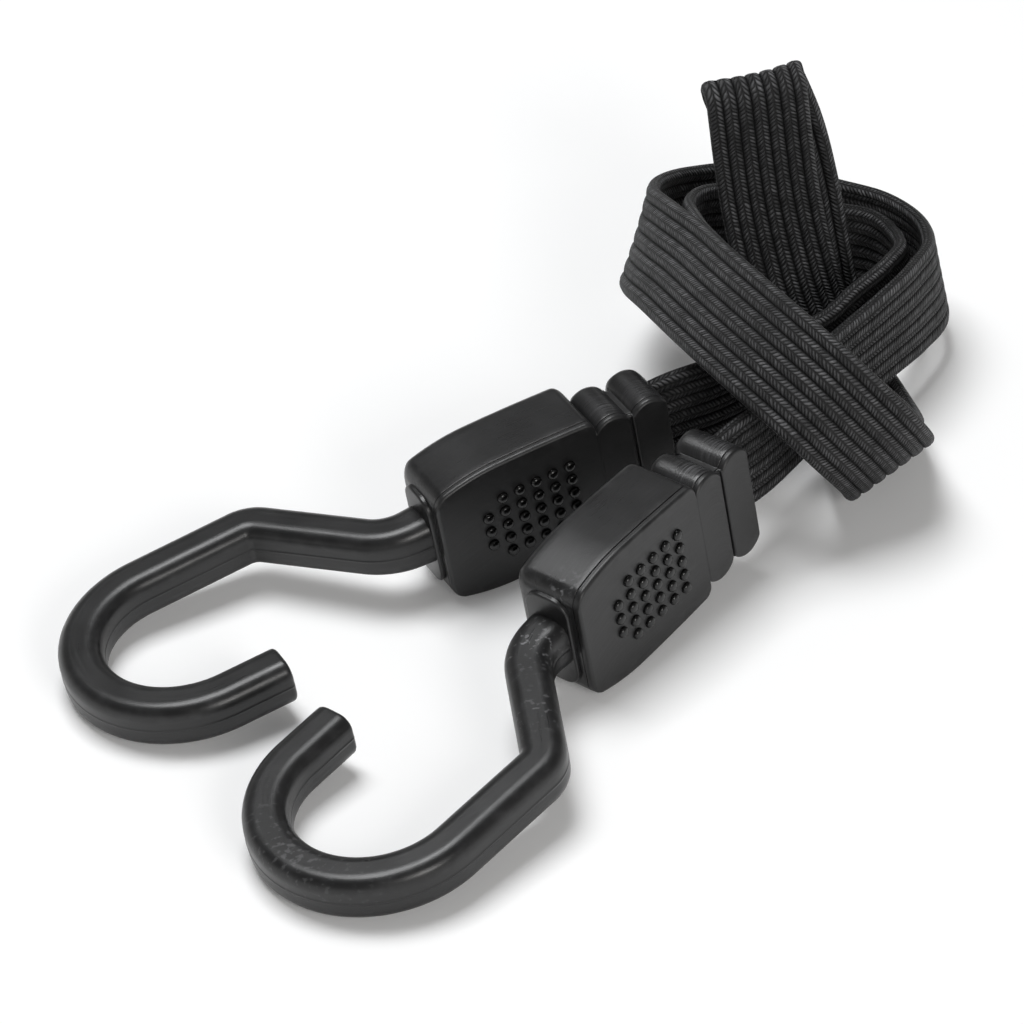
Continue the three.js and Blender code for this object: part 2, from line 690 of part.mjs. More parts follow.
const bungee = new THREE.Group();
bungee.add(fittingA, fittingB);
bungee.add(
  mesh("strap_knot", ribbon(knotStart + GAP, knotEnd - GAP), webbing()),
  mesh("strap_lead_a", ribbon(0, knotStart), webbing()),
  mesh("strap_lead_b", ribbon(knotEnd, strap.length), webbing()),
);

export default bungee;
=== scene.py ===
# %% [markdown]
# # A flat bungee cord, doubled and tied in a loose knot
# The real object is one length of flat elastic webbing with a moulded hook fitting at each end. The fittings
# are rigid, so they are lofts and sweeps worked out as whole arrays. The webbing is soft, so it is a ribbed
# ribbon carried along a smooth line. All of it could be drawn by hand in edit mode; it is worked out from
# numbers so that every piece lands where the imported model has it. Sizes are written in millimetres, and the
# meshes are in metres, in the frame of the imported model.

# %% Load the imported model
import math

import bmesh
import bpy
import numpy as np
from mathutils import Matrix, Vector


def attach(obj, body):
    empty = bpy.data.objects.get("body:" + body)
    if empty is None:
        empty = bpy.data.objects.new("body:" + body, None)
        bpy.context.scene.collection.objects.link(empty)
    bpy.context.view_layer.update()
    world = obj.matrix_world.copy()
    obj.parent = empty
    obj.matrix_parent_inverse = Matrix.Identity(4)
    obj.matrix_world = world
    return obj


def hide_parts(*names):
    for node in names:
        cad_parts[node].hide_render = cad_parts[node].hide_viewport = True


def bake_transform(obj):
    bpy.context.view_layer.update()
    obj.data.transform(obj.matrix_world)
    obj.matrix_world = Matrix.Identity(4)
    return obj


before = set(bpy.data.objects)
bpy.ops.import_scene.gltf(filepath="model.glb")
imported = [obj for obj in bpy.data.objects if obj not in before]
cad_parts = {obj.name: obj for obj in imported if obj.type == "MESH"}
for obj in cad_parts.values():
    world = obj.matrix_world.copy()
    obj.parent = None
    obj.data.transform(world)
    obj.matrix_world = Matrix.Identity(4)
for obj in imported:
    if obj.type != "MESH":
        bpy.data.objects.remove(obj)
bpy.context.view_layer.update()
MM = 0.001

# %% [markdown]
# ## Camera
# The photograph is taken with a long lens from above and in front, a little tilted. A camera can be set by
# eye, but here its place, the angle down and the lean come from fitting the grip dots and the hooks'
# outlines, so the render lines up with the photograph.

# %% Camera
EYE = (17.51, -559.62, 456.73)
LOOK_DOWN, LEAN = math.radians(36.85), math.radians(-4.37)
LENS, SENSOR_WIDTH = 158.2, 36

camera = bpy.data.objects.new("camera", bpy.data.cameras.new("camera"))
camera.data.lens, camera.data.sensor_width = LENS, SENSOR_WIDTH
bpy.context.collection.objects.link(camera)
look = Vector((0, math.cos(LOOK_DOWN), -math.sin(LOOK_DOWN)))
turned = look.to_track_quat("-Z", "Y").to_matrix().to_4x4() @ Matrix.Rotation(LEAN, 4, "Z")
camera.matrix_world = Matrix.Translation(Vector(EYE) * MM) @ turned
bpy.context.scene.camera = camera
print("camera", tuple(round(v, 3) for v in camera.location))

# %% [markdown]
# ## Where the fittings lie
# Each fitting is drawn in its own axes: u runs from the front of the housing to the strap, v through its
# thickness (the grip dots are on the low side) and w across its width. A turn by heading, dip and lean then
# puts it on the table, with its hook's bow and its housing touching. Object transforms could do the same, but
# turned points leave every object at the origin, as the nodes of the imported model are.

# %% Fitting frames
DIP = 6.65
MOUTH = 43.4
FITTINGS = {
    "a": {"place": (3.33, 30.91, 11.434), "heading": 25.1, "lean": 0.8, "side": 1},
    "b": {"place": (22.73, 0.91, 11.473), "heading": 46.8, "lean": -1.6, "side": -1},
}


def fitting_matrix(fit):
    """Turn about Z by the heading, then about Y by the dip, then about X by the lean."""
    turn = Matrix.Identity(3)
    for degrees, axis in [(fit["heading"], "Z"), (-DIP, "Y"), (fit["lean"], "X")]:
        turn = turn @ Matrix.Rotation(math.radians(degrees), 3, axis)
    return np.array(turn), np.array(fit["place"])


FRAMES = {name: fitting_matrix(fit) for name, fit in FITTINGS.items()}


def placed(name, local):
    """Points in a fitting's own axes, in millimetres, moved to the table, in metres."""
    turn, place = FRAMES[name]
    return (np.asarray(local) @ turn.T + place) * MM


print("mouths:", {name: np.round(placed(name, (MOUTH, 0, 0)), 4).tolist() for name in FRAMES})

# %% [markdown]
# ## Meshes from grids
# Every piece below is a grid of points: one row for each ring along a path, one column for each point round
# the ring. The grid closes on itself round the ring, and a fan closes each end. Curves with a bevel would be
# quicker for a plain rod, but a grid also takes a ribbed strap or a housing that changes along its length,
# and it carries its own UV map and wear values.

# %% Grid helpers
SMOOTH_ANGLE = math.radians(38)


def grid_faces(rows, columns):
    """Quads between neighbouring rings, closed round each ring."""
    row, column = np.meshgrid(np.arange(rows - 1), np.arange(columns), indexing="ij")
    here = row * columns + column
    beside = row * columns + (column + 1) % columns
    return np.stack([here, beside, beside + columns, here + columns], -1).reshape(-1, 4)


def mesh_piece(name, points, faces, values=None, uv=None):
    """A mesh object from points, a list of face arrays, values on points and a UV pair on points."""
    mesh = bpy.data.meshes.new(name)
    faces = [face for block in faces for face in np.asarray(block).tolist()]
    mesh.from_pydata(np.asarray(points).tolist(), [], faces)
    for key, value in (values or {}).items():
        layer = mesh.attributes.new(key, "FLOAT", "POINT")
        layer.data.foreach_set("value", np.asarray(value, np.float32).ravel())
    if uv is not None:
        corners = np.empty(len(mesh.loops), np.int32)
        mesh.loops.foreach_get("vertex_index", corners)
        layer = mesh.uv_layers.new(name="lay")
        layer.data.foreach_set("uv", np.asarray(uv, np.float32)[corners].ravel())
    shell = bmesh.new()
    shell.from_mesh(mesh)
    bmesh.ops.recalc_face_normals(shell, faces=shell.faces)
    shell.to_mesh(mesh)
    shell.free()
    mesh.shade_smooth()
    mesh.set_sharp_from_angle(angle=SMOOTH_ANGLE)
    piece = bpy.data.objects.new(name, mesh)
    bpy.context.collection.objects.link(piece)
    return piece


def tube(name, grid, values=None, uv=None):
    """A closed tube from a grid of rings, with a fan of triangles round the mean point of each end."""
    rows, columns = grid.shape[:2]
    points = np.concatenate([grid.reshape(-1, 3), grid[[0, -1]].mean(1)])
    ring = np.arange(columns)
    after = (ring + 1) % columns
    first, last = rows * columns, rows * columns + 1
    end = (rows - 1) * columns
    fans = [
        np.stack([after, ring, np.full(columns, first)], -1),
        np.stack([ring + end, after + end, np.full(columns, last)], -1),
    ]

    def with_ends(value):
        """The grid's values in one row, then the mean of the first ring and of the last."""
        value = np.asarray(value)
        flat = value.reshape((rows * columns,) + value.shape[2:])
        return np.concatenate([flat, value[[0, -1]].mean(1)])

    values = {key: with_ends(value) for key, value in (values or {}).items()}
    uv = None if uv is None else with_ends(uv)
    return mesh_piece(name, points, [grid_faces(rows, columns), *fans], values, uv)


print("quads between two rings of eight:", len(grid_faces(2, 8)))

# %% [markdown]
# ## The strap's line
# The webbing leaves each housing on edge, the two strands meet, go round the ring side by side, drape over
# the leads, fold under them and stand up through the ring as a bight. A cloth simulation would have to tie
# this knot first, so the route is set as listed stations on the middle line of the doubled strap. Each row
# holds a place, the direction of the strap's width, the distance between the two strands, and how far they
# slip on each other.

# %% Strap stations
LEAD_STRAIGHT = 2
LEADS = {
    "a": [(53.0, 54.8, 16.2), (59.4, 59.6, 15.8), (65.3, 63.8, 15.9)],
    "b": [(59.4, 40.4, 16.2), (64.2, 46.9, 15.8), (69.0, 53.3, 15.9)],
}
KNOT = np.array([
    # from the leads, on edge, round the right of the ring and along its far side
    (73.7, 63.0, 16.3, -0.09, -0.05, 0.99, 5.6, 0),
    (81.0, 70.7, 16.8, -0.09, -0.04, 0.99, 5.4, 0),
    (87.6, 79.5, 15.9, -0.14, -0.05, 0.99, 5, 0),
    (91.7, 89.2, 14.0, -0.16, -0.05, 0.99, 5, 0),
    (90.9, 97.0, 13.1, -0.14, -0.05, 0.99, 5.2, 0),
    (86.6, 102.4, 13.4, -0.09, -0.04, 1.00, 5.4, 0),
    (79.0, 105.8, 14.2, -0.09, -0.04, 1.00, 6.6, 0),
    (69.2, 109.2, 15.3, -0.09, -0.04, 0.99, 7.8, 0),
    # the wide bend on the left, leaning over as it comes forward
    (61.0, 110.0, 16.0, -0.05, 0.03, 1.00, 8.6, 0),
    (54.8, 107.6, 17.4, 0.05, 0.10, 0.99, 8.8, 0),
    (49.9, 102.4, 19.8, 0.21, 0.30, 0.93, 8.2, 0),
    (46.9, 94.9, 22.6, 0.35, 0.45, 0.82, 6.8, 0),
    (46.8, 84.3, 26.7, 0.53, 0.48, 0.70, 5.2, 0),
    # draped over the two leads and down in front
    (49.4, 71.9, 30.5, 0.68, 0.43, 0.59, 4, 0),
    (52.9, 59.4, 33.7, 0.68, 0.42, 0.60, 3.4, 0),
    (57.2, 48.5, 35.1, 0.68, 0.41, 0.60, 3.3, 0),
    (62.2, 39.8, 34.4, 0.68, 0.42, 0.60, 3.3, 0),
    (67.9, 35.6, 30.0, 0.72, 0.41, 0.56, 3.3, 0),
    (73.5, 36.0, 22.9, 0.80, 0.33, 0.51, 3.3, 0),
    (77.8, 38.7, 16.0, 0.84, 0.29, 0.45, 3.3, 0),
    # folded under, flat along the table beneath the leads
    (79.9, 43.1, 10.4, 0.85, 0.31, 0.43, 3.4, 0),
    (80.0, 47.5, 7.5, 0.86, 0.32, 0.40, 3.6, 0),
    (79.9, 54.2, 5.0, 0.94, 0.29, 0.19, 3.6, 0),
    (78.9, 62.7, 3.5, 0.96, 0.28, 0.02, 3.4, 0),
    (76.0, 74.4, 3.3, 0.97, 0.25, 0, 3.4, 0),
    # up through the ring to the bight
    (73.2, 82.3, 5.4, 0.97, 0.24, 0, 3.6, 1.4),
    (71.3, 86.9, 11.4, 0.98, 0.21, 0, 3.6, 3),
    (69.5, 90.7, 20.5, 0.98, 0.21, 0, 3.3, 4),
    (68.0, 94.3, 30.2, 0.98, 0.22, 0, 3.3, 4.4),
    (66.6, 96.8, 39.6, 0.98, 0.22, 0, 3.5, 3.4),
    (65.1, 97.5, 47.2, 0.97, 0.22, 0, 3.5, 1.4),
    (64.5, 98.0, 50.0, 0.97, 0.23, 0, 3.4, 0.68),
])
print(len(KNOT), "stations on the middle line")

# %% Two strands from one middle line
BIGHT_TURN = np.radians([45, 90, 135])


def unit(vectors):
    """Each vector divided by its own length."""
    return vectors / np.linalg.norm(vectors, axis=-1, keepdims=True)


def lead_stations(name):
    """Straight out of the housing's mouth along u, then the lead's points, with the width along w."""
    turn, place = FRAMES[name]
    out = place + np.outer([MOUTH, MOUTH + LEAD_STRAIGHT], turn[:, 0])
    places = np.concatenate([out, LEADS[name]])
    return np.hstack([places, np.tile(turn[:, 2], (len(places), 1))])


def knot_stations():
    """The middle line moved half the spacing along its normal to each side, with a half turn at the bight."""
    middle, across = KNOT[:, :3], unit(KNOT[:, 3:6])
    spacing, slip = KNOT[:, 6:7], KNOT[:, 7:8]
    beside = np.pad(middle, ((1, 1), (0, 0)), "edge")
    along = unit(beside[2:] - beside[:-2])
    normal = unit(np.cross(along, across))
    apart = normal * spacing / 2 + across * slip / 2
    onward, sideways = np.outer(np.sin(BIGHT_TURN), along[-1]), np.outer(np.cos(BIGHT_TURN), normal[-1])
    turn = middle[-1] + spacing[-1] / 2 * (onward - sideways)
    turn = turn + np.outer(slip[-1] / 2 * (2 * BIGHT_TURN / np.pi - 1), across[-1])
    bight = np.hstack([turn, np.tile(across[-1], (len(turn), 1))])
    first, second = np.hstack([middle - apart, across]), np.hstack([middle + apart, across])
    return np.concatenate([first, bight, second[::-1]])


stations = np.concatenate([lead_stations("a"), knot_stations(), lead_stations("b")[::-1]])
print(len(stations), "stations from mouth to mouth")

# %% Smooth line through the stations
FINE = 24
JOINT_STATION = 2


def smooth_line(stations):
    """Cubic pieces through the stations; a slope weighs each chord beside it by the other one's length."""
    spans = np.linalg.norm(np.diff(stations[:, :3], axis=0), axis=1)[:, None]
    chords = np.diff(stations, axis=0) / spans
    slopes = np.concatenate([chords[:1], np.zeros_like(chords[1:]), chords[-1:]])
    slopes[1:-1] = (chords[:-1] * spans[1:] + chords[1:] * spans[:-1]) / (spans[:-1] + spans[1:])
    t = (np.arange(FINE) / FINE)[None, :, None]
    here, there = stations[:-1, None], stations[1:, None]
    curve = here * (2 * t**3 - 3 * t**2 + 1) + there * (3 * t**2 - 2 * t**3)
    bend = slopes[:-1, None] * (t**3 - 2 * t**2 + t) + slopes[1:, None] * (t**3 - t**2)
    line = (curve + bend * spans[:, None]).reshape(-1, stations.shape[1])
    line = np.concatenate([line, stations[-1:]])
    at = np.concatenate([[0], np.cumsum(np.linalg.norm(np.diff(line[:, :3], axis=0), axis=1))])
    return line, at, at[::FINE]


line, line_at, marks = smooth_line(stations)
STRAP_LENGTH = line_at[-1]
FIRST_JOINT, LAST_JOINT = marks[JOINT_STATION], marks[-1 - JOINT_STATION]
APEX = marks[len(stations) // 2]
print(f"strap outside the housings {STRAP_LENGTH:.1f} mm, bight at {APEX:.1f} mm")

# %% [markdown]
# ## The strap's section
# Under the braid lie seven rubber strands side by side, so both faces are ribbed and the edges are round.
# The section is one closed line: round one edge, along the upper face, round the other edge, back along the
# lower face. A displaced flat strip could show the ribs too, but ribs in the section give the scalloped
# outline that shows at the bight and at the fold. The braid's small stitches are left to the material.

# %% Ribbed section
STRAP_WIDTH = 18.0
RIBS = 7
RIB = STRAP_WIDTH / RIBS
RIB_STEPS, EDGE_STEPS = 9, 6
CROWN, GROOVE = 1.25, 0.84
EDGE_ROUND = 1.15
RIM = STRAP_WIDTH / 2 - EDGE_ROUND


def strap_section():
    """Half thickness is a row of round crowns over a flat core, closed by a circle at each edge.

    Gives the points and, for each, its place across the ribs, which goes on round the edges by arc length.
    """
    across = np.linspace(-STRAP_WIDTH / 2, STRAP_WIDTH / 2, RIBS * RIB_STEPS + 1)
    across = across[np.abs(across) < RIM]
    from_crown = (across / RIB + RIBS / 2) % 1 - 0.5
    half = GROOVE + (CROWN - GROOVE) * np.sqrt(np.clip(1 - (2 * from_crown) ** 2, 0, 1))
    angle = np.radians(np.linspace(0, 90, EDGE_STEPS + 1))
    edge = np.stack([RIM + EDGE_ROUND * np.cos(angle), EDGE_ROUND * np.sin(angle)], -1)
    edge_place = RIM / RIB + EDGE_ROUND * (np.pi / 2 - angle) / RIB
    face = np.stack([across[::-1], half[::-1]], -1)
    upper = np.concatenate([edge, face, edge[::-1] * (-1, 1)])
    place = np.concatenate([edge_place, across[::-1] / RIB, -edge_place[::-1]]) + RIBS / 2
    lower = (upper * (1, -1))[::-1][1:-1]
    return np.concatenate([upper, lower]), np.concatenate([place, place[::-1][1:-1] + 2 * RIBS])


SECTION, RIB_PLACE = strap_section()
print(len(SECTION), "points round the strap")

# %% [markdown]
# ## Ribbons along the line
# The section is carried along the line, flat to the direction of the strap's width, as a Curve with a bevel
# object would be. Arrays are used instead, because the width turns freely along the knot, and because the
# UV map then measures the strap in ribs, both ways, which the braid needs. The two strands meet in the bight.

# %% Ribbon between two lengths along a line
STRAP_STEP = 0.8
REACH = 0.6


def ribbon(name, start, end, line=line, line_at=line_at):
    """Place + across * a + up * b for the section's a and b, with up square to the line and the width."""
    def along(at):
        """The line's values at lengths along it."""
        return np.stack([np.interp(at, line_at, line[:, k]) for k in range(line.shape[1])], -1)

    at = np.linspace(start, end, max(2, round((end - start) / STRAP_STEP)) + 1)
    here = along(at)
    ahead, behind = along(np.minimum(at + REACH, line_at[-1])), along(np.maximum(at - REACH, 0))
    forward = unit(ahead[:, :3] - behind[:, :3])
    across = here[:, 3:]
    across = unit(across - forward * np.sum(across * forward, 1, keepdims=True))
    up = np.cross(forward, across)
    grid = here[:, None, :3] + across[:, None] * SECTION[None, :, :1] + up[:, None] * SECTION[None, :, 1:]
    uv = np.stack(np.broadcast_arrays(at[:, None] / RIB, RIB_PLACE[None]), -1)
    # The groove value marks the hollows between ribs, where the webbing finish paints shade into the colour
    groove_for_painted_shade = (CROWN - np.abs(SECTION[:, 1])) / (CROWN - GROOVE)
    groove_for_painted_shade = np.where(np.abs(SECTION[:, 0]) < RIM, np.clip(groove_for_painted_shade, 0, 1), 0)
    piece = tube(name, grid * MM, {"groove": np.broadcast_to(groove_for_painted_shade, grid.shape[:2])}, uv)
    return piece, here[:, :3] * MM


strand_a, path_a = ribbon("strap_strand_a", FIRST_JOINT, APEX)
strand_b, path_b = ribbon("strap_strand_b", APEX, LAST_JOINT)
print("strand lengths", round(APEX - FIRST_JOINT, 1), round(LAST_JOINT - APEX, 1))

# %% Leads and tails
BEND = 5.5
TAIL_START = 18.0
BEND_END = {"a": FIRST_JOINT - BEND, "b": LAST_JOINT + BEND}
lead_bends = {
    "a": ribbon("strap_lead_bend_a", BEND_END["a"], FIRST_JOINT)[0],
    "b": ribbon("strap_lead_bend_b", LAST_JOINT, BEND_END["b"])[0],
}
lead_stretches = {
    "a": ribbon("strap_lead_stretch_a", 0, BEND_END["a"])[0],
    "b": ribbon("strap_lead_stretch_b", BEND_END["b"], STRAP_LENGTH)[0],
}


def make_tail(name):
    """A ribbon on a straight line along u inside the housing, up to its mouth."""
    turn, place = FRAMES[name]
    places = place + np.outer([TAIL_START, MOUTH], turn[:, 0])
    inside = np.hstack([places, np.tile(turn[:, 2], (2, 1))])
    length = MOUTH - TAIL_START
    return ribbon(f"strap_tail_end_{name}", 0, length, inside, np.array([0, length]))[0]


tails = {name: make_tail(name) for name in FITTINGS}
strap_pieces = [strand_a, strand_b, *lead_bends.values(), *lead_stretches.values(), *tails.values()]
print(len(strap_pieces), "pieces of strap")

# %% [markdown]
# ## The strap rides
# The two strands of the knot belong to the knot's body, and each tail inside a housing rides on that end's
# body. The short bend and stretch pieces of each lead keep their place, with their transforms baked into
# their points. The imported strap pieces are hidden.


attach(strand_a, "knot")
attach(strand_b, "knot")
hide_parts("strap_knot")
for name in FITTINGS:
    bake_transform(lead_bends[name])
    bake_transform(lead_stretches[name])
    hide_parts(f"strap_lead_{name}")
    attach(tails[name], f"end_{name}")
    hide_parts(f"strap_tail_{name}")

# %% [markdown]
# ## Nodes in short
# A material is a small tree of nodes, which could be drawn in the Shader Editor. These helpers make a node,
# feed its inputs and give back its output, so that each finish below reads as a list of steps.

# %% Node helpers
BLUISH = 1.04


def new_material(name):
    """A new material, its node tree and its shader."""
    material = bpy.data.materials.new(name)
    material.use_nodes = True
    tree = material.node_tree
    return material, tree, tree.nodes["Principled BSDF"]


def feed(tree, made, inputs):
    """Each input is a value, or another node's output to link."""
    for key, value in (inputs or {}).items():
        if isinstance(value, bpy.types.NodeSocket):
            tree.links.new(value, made.inputs[key])
        else:
            made.inputs[key].default_value = value
    return made


def node(tree, kind, inputs=None, **settings):
    """A node of a kind, with its settings set first and its inputs fed after."""
    made = tree.nodes.new(kind)
    for key, value in settings.items():
        setattr(made, key, value)
    return feed(tree, made, inputs)


def calc(tree, operation, *values):
    """One step of arithmetic on values or outputs."""
    return node(tree, "ShaderNodeMath", dict(enumerate(values)), operation=operation).outputs[0]


def scaled(tree, value, by, plus):
    """The value times by, plus another number or output."""
    return calc(tree, "MULTIPLY_ADD", value, by, plus)


def dome(tree, off, power):
    """One minus the distance from the middle to a power."""
    return calc(tree, "SUBTRACT", 1.0, calc(tree, "POWER", calc(tree, "ABSOLUTE", off), power))


def ramp(tree, value, low, high):
    """Zero at low, one at high, straight between and level outside."""
    limits = {"Value": value, "From Min": low, "From Max": high}
    return node(tree, "ShaderNodeMapRange", limits, clamp=True).outputs["Result"]


def noise(tree, vector, scale, detail):
    """Soft noise about one half, with that many waves in a unit and that many finer layers."""
    inputs = {"Vector": vector, "Scale": scale, "Detail": detail}
    return node(tree, "ShaderNodeTexNoise", inputs).outputs["Fac"]


def group(name, inputs, outputs):
    """An empty node group: inputs with their first values, where None makes a vector, and named outputs."""
    tree = bpy.data.node_groups.new(name, "ShaderNodeTree")
    for key, value in inputs.items():
        kind = "NodeSocketVector" if value is None else "NodeSocketFloat"
        socket = tree.interface.new_socket(key, in_out="INPUT", socket_type=kind)
        if value is not None:
            socket.default_value = value
    for key in outputs:
        tree.interface.new_socket(key, in_out="OUTPUT", socket_type="NodeSocketFloat")
    return tree, tree.nodes.new("NodeGroupInput").outputs, tree.nodes.new("NodeGroupOutput").inputs


def use(tree, what, inputs):
    """The outputs of a node group placed in a material with its own values."""
    return feed(tree, node(tree, "ShaderNodeGroup", node_tree=what), inputs).outputs


def mix(tree, factor, first, second):
    """A colour on the straight line from the first to the second, by a factor."""
    inputs = {"Factor": factor, "A": first, "B": second}
    return node(tree, "ShaderNodeMix", inputs, data_type="RGBA").outputs["Result"]


def shade(tree, factor, dark, light):
    """A mix of two greys, each a touch blue."""
    return mix(tree, factor, (dark, dark, dark * BLUISH, 1), (light, light, light * BLUISH, 1))


def own_value(tree, name):
    """A value that the mesh carries on its points, or zero where it has none of that name."""
    return node(tree, "ShaderNodeAttribute", attribute_name=name).outputs["Fac"]


print("node helpers ready")

# %% [markdown]
# ## Braided webbing finish
# The braid is black yarn in small slanted stitches that meet in a V along each rib. An image would do, but a
# pattern worked out in the strap's own lengthwise and crosswise coordinates follows every fold and stays
# sharp. A bump gives the stitches relief, their spacing is a little uneven and single stitches are lighter or
# darker. Shade is painted into the colour as well: the gaps between stitches and the grooves between ribs are
# painted dark, and one side of each V is painted lighter, as if it faced the lamp.

# %% Stitches as a node group
UNEVEN_SCALE, UNEVEN_SHIFT = 1.3, 1.1
STITCH_POWER, COLUMN_POWER = 1.5, 1.8
# Painted light: the shaded side and the lit side of each V
SHADED_SIDE_PAINTED, LIT_SIDE_PAINTED_STEP = 0.55, 0.5
DARKEST_YARN, YARN_SPREAD = 0.35, 1.0

sockets = {"Along": 0.0, "Ribs": 0.0, "Per Rib": 3.6, "Slant": 2.4}
stitches, given, out = group("stitches", sockets, ["Height", "Yarn"])
off_middle = calc(stitches, "SUBTRACT", calc(stitches, "FRACT", given["Ribs"]), 0.5)
from_middle = calc(stitches, "ABSOLUTE", off_middle)
lean_over = calc(stitches, "MULTIPLY", from_middle, given["Slant"])
spot = node(stitches, "ShaderNodeCombineXYZ", {"X": given["Along"], "Y": given["Ribs"]}).outputs[0]
uneven = noise(stitches, spot, UNEVEN_SCALE, detail=2.0)
shifted = scaled(stitches, uneven, by=UNEVEN_SHIFT, plus=lean_over)
count = scaled(stitches, given["Along"], by=given["Per Rib"], plus=shifted)
off_stitch = scaled(stitches, calc(stitches, "FRACT", count), by=2.0, plus=-1.0)
off_column = scaled(stitches, from_middle, by=4.0, plus=-1.0)
stitch, column = dome(stitches, off_stitch, STITCH_POWER), dome(stitches, off_column, COLUMN_POWER)
height = calc(stitches, "MULTIPLY", stitch, column)
row = calc(stitches, "FLOOR", count)
side = calc(stitches, "FLOOR", calc(stitches, "MULTIPLY", given["Ribs"], 2.0))
number = node(stitches, "ShaderNodeCombineXYZ", {"X": row, "Y": side}).outputs[0]
each = node(stitches, "ShaderNodeTexWhiteNoise", {"Vector": number}, noise_dimensions="2D").outputs["Value"]
# Painted light: one side of each V is lighter, as if it faced the lamp
painted_lit_side = scaled(stitches, calc(stitches, "MODULO", side, 2.0), by=LIT_SIDE_PAINTED_STEP, plus=SHADED_SIDE_PAINTED)
# Painted shade: the gaps between stitches stay dark in the colour, and only the stitch crowns are lighter
crest = calc(stitches, "MULTIPLY", ramp(stitches, height, low=0.15, high=0.75), painted_lit_side)
bright = calc(stitches, "MULTIPLY", crest, scaled(stitches, each, by=YARN_SPREAD, plus=DARKEST_YARN))
stitches.links.new(height, out["Height"])
stitches.links.new(bright, out["Yarn"])
print(len(stitches.nodes), "nodes make a stitch")

# %% Webbing material
YARN_DARK, YARN_LIGHT = 0.010, 0.13
YARN_ROUGH, YARN_SPECULAR = 0.6, 0.25
GROOVE_SHADE = 0.85
WORN_SCALE, WORN_LEAST, WORN_SPREAD = 0.35, 0.5, 0.6
STITCH_RELIEF = 0.00032

webbing, tree, shader = new_material("braided_webbing")
where = node(tree, "ShaderNodeUVMap", uv_map="lay").outputs["UV"]
lay = node(tree, "ShaderNodeSeparateXYZ", {"Vector": where}).outputs
braid = use(tree, stitches, {"Along": lay["X"], "Ribs": lay["Y"]})
worn = ramp(tree, noise(tree, where, WORN_SCALE, detail=3.0), low=0.3, high=0.75)
# Painted shade: the grooves between ribs are darkened in the colour
painted_groove_shade = scaled(tree, own_value(tree, "groove"), by=-GROOVE_SHADE, plus=1.0)
yarn_with_painted_shade = calc(tree, "MULTIPLY", braid["Yarn"], painted_groove_shade)
yarn_with_painted_shade = calc(tree, "MULTIPLY", yarn_with_painted_shade, scaled(tree, worn, by=WORN_SPREAD, plus=WORN_LEAST))
tree.links.new(shade(tree, yarn_with_painted_shade, YARN_DARK, YARN_LIGHT), shader.inputs["Base Color"])
shader.inputs["Roughness"].default_value = YARN_ROUGH
shader.inputs["Specular IOR Level"].default_value = YARN_SPECULAR
inputs = {"Height": braid["Height"], "Strength": 1.0, "Distance": STITCH_RELIEF}
tree.links.new(node(tree, "ShaderNodeBump", inputs).outputs["Normal"], shader.inputs["Normal"])
for piece in strap_pieces:
    piece.data.materials.append(webbing)
print("webbing on", len(strap_pieces), "pieces")

# %% [markdown]
# ## Housing shells
# A housing is a deep tub closed by a flat cover. Both are lofts: a rounded rectangle in v and w whose size
# changes along u. Where the half width follows circles, the two lobes of the strain relief come out as half
# barrels with oval faces. Bevelled boxes joined by booleans would give the same outline, but a loft keeps the
# edges even and the mesh clean all the way along.

# %% Housing sizes
BODY_LENGTH, BODY_HALF = 30.0, 6.7
BODY_WIDTH, FRONT_WIDTH, REAR_WIDTH, WIDEST_PLACE = 25.2, 20.8, 24.0, 12.0
FRONT_CORNER, REAR_CORNER = 2.2, 1.5
TUB_EDGE = 1.8
COVER_THICKNESS, SEAM = 1.15, 0.14
LOBE_LENGTH, LOBE_PITCH, LOBE_WIDTH, LOBE_START = 6.55, 6.95, 22.0, 30.05
LOBE_BACK, LOBE_EDGE, LOBE_DROP = 4.0, 1.2, 0.08
NECK_WIDTH, NECK_BACK, NECK_DROP = 18.9, 2.8, 0.65
LOBES = LOBE_START + LOBE_LENGTH / 2 + LOBE_PITCH * np.arange(2)
LOBE_REACH = LOBE_LENGTH / 2
LOBE_ROUND = 3.75
REAR_END = LOBES[-1] + LOBE_REACH
print("lobes' middles at", np.round(LOBES, 2).tolist(), "and the end at", round(REAR_END, 2))

# %% Housing outline along u
EVEN_STEPS, TURN_STEPS, LOBE_STEPS = 110, 10, 33
EXTRA_EDGE, NECK_SPOT, HAIR = 0.6, 0.12, 1e-3


def circle_drop(distance, radius):
    """How far a quarter circle falls below its top, at a distance past its centre."""
    return radius - np.sqrt(np.clip(radius**2 - np.clip(distance, 0, radius) ** 2, 0, None))


def from_lobe(u):
    """Distance along u from the middle of the nearer lobe."""
    return np.abs(u[:, None] - LOBES).min(1)


def half_width(u):
    """The body is two half parabolas with round corners; behind it, the wider of the neck and the lobes."""
    ahead = np.clip(1 - u / WIDEST_PLACE, 0, 1)
    behind = np.clip((u - WIDEST_PLACE) / (BODY_LENGTH - WIDEST_PLACE), 0, 1)
    body = (BODY_WIDTH - (BODY_WIDTH - FRONT_WIDTH) * ahead**2 - (BODY_WIDTH - REAR_WIDTH) * behind**2) / 2
    front = circle_drop(FRONT_CORNER - u, FRONT_CORNER)
    rear = circle_drop(u - BODY_LENGTH + REAR_CORNER, REAR_CORNER)
    lobes = LOBE_WIDTH / 2 - circle_drop(from_lobe(u), LOBE_ROUND)
    neck = np.where(u < LOBES[-1], NECK_WIDTH / 2, 0)
    return np.where(u <= BODY_LENGTH, body - (front + rear), np.maximum(lobes, neck))


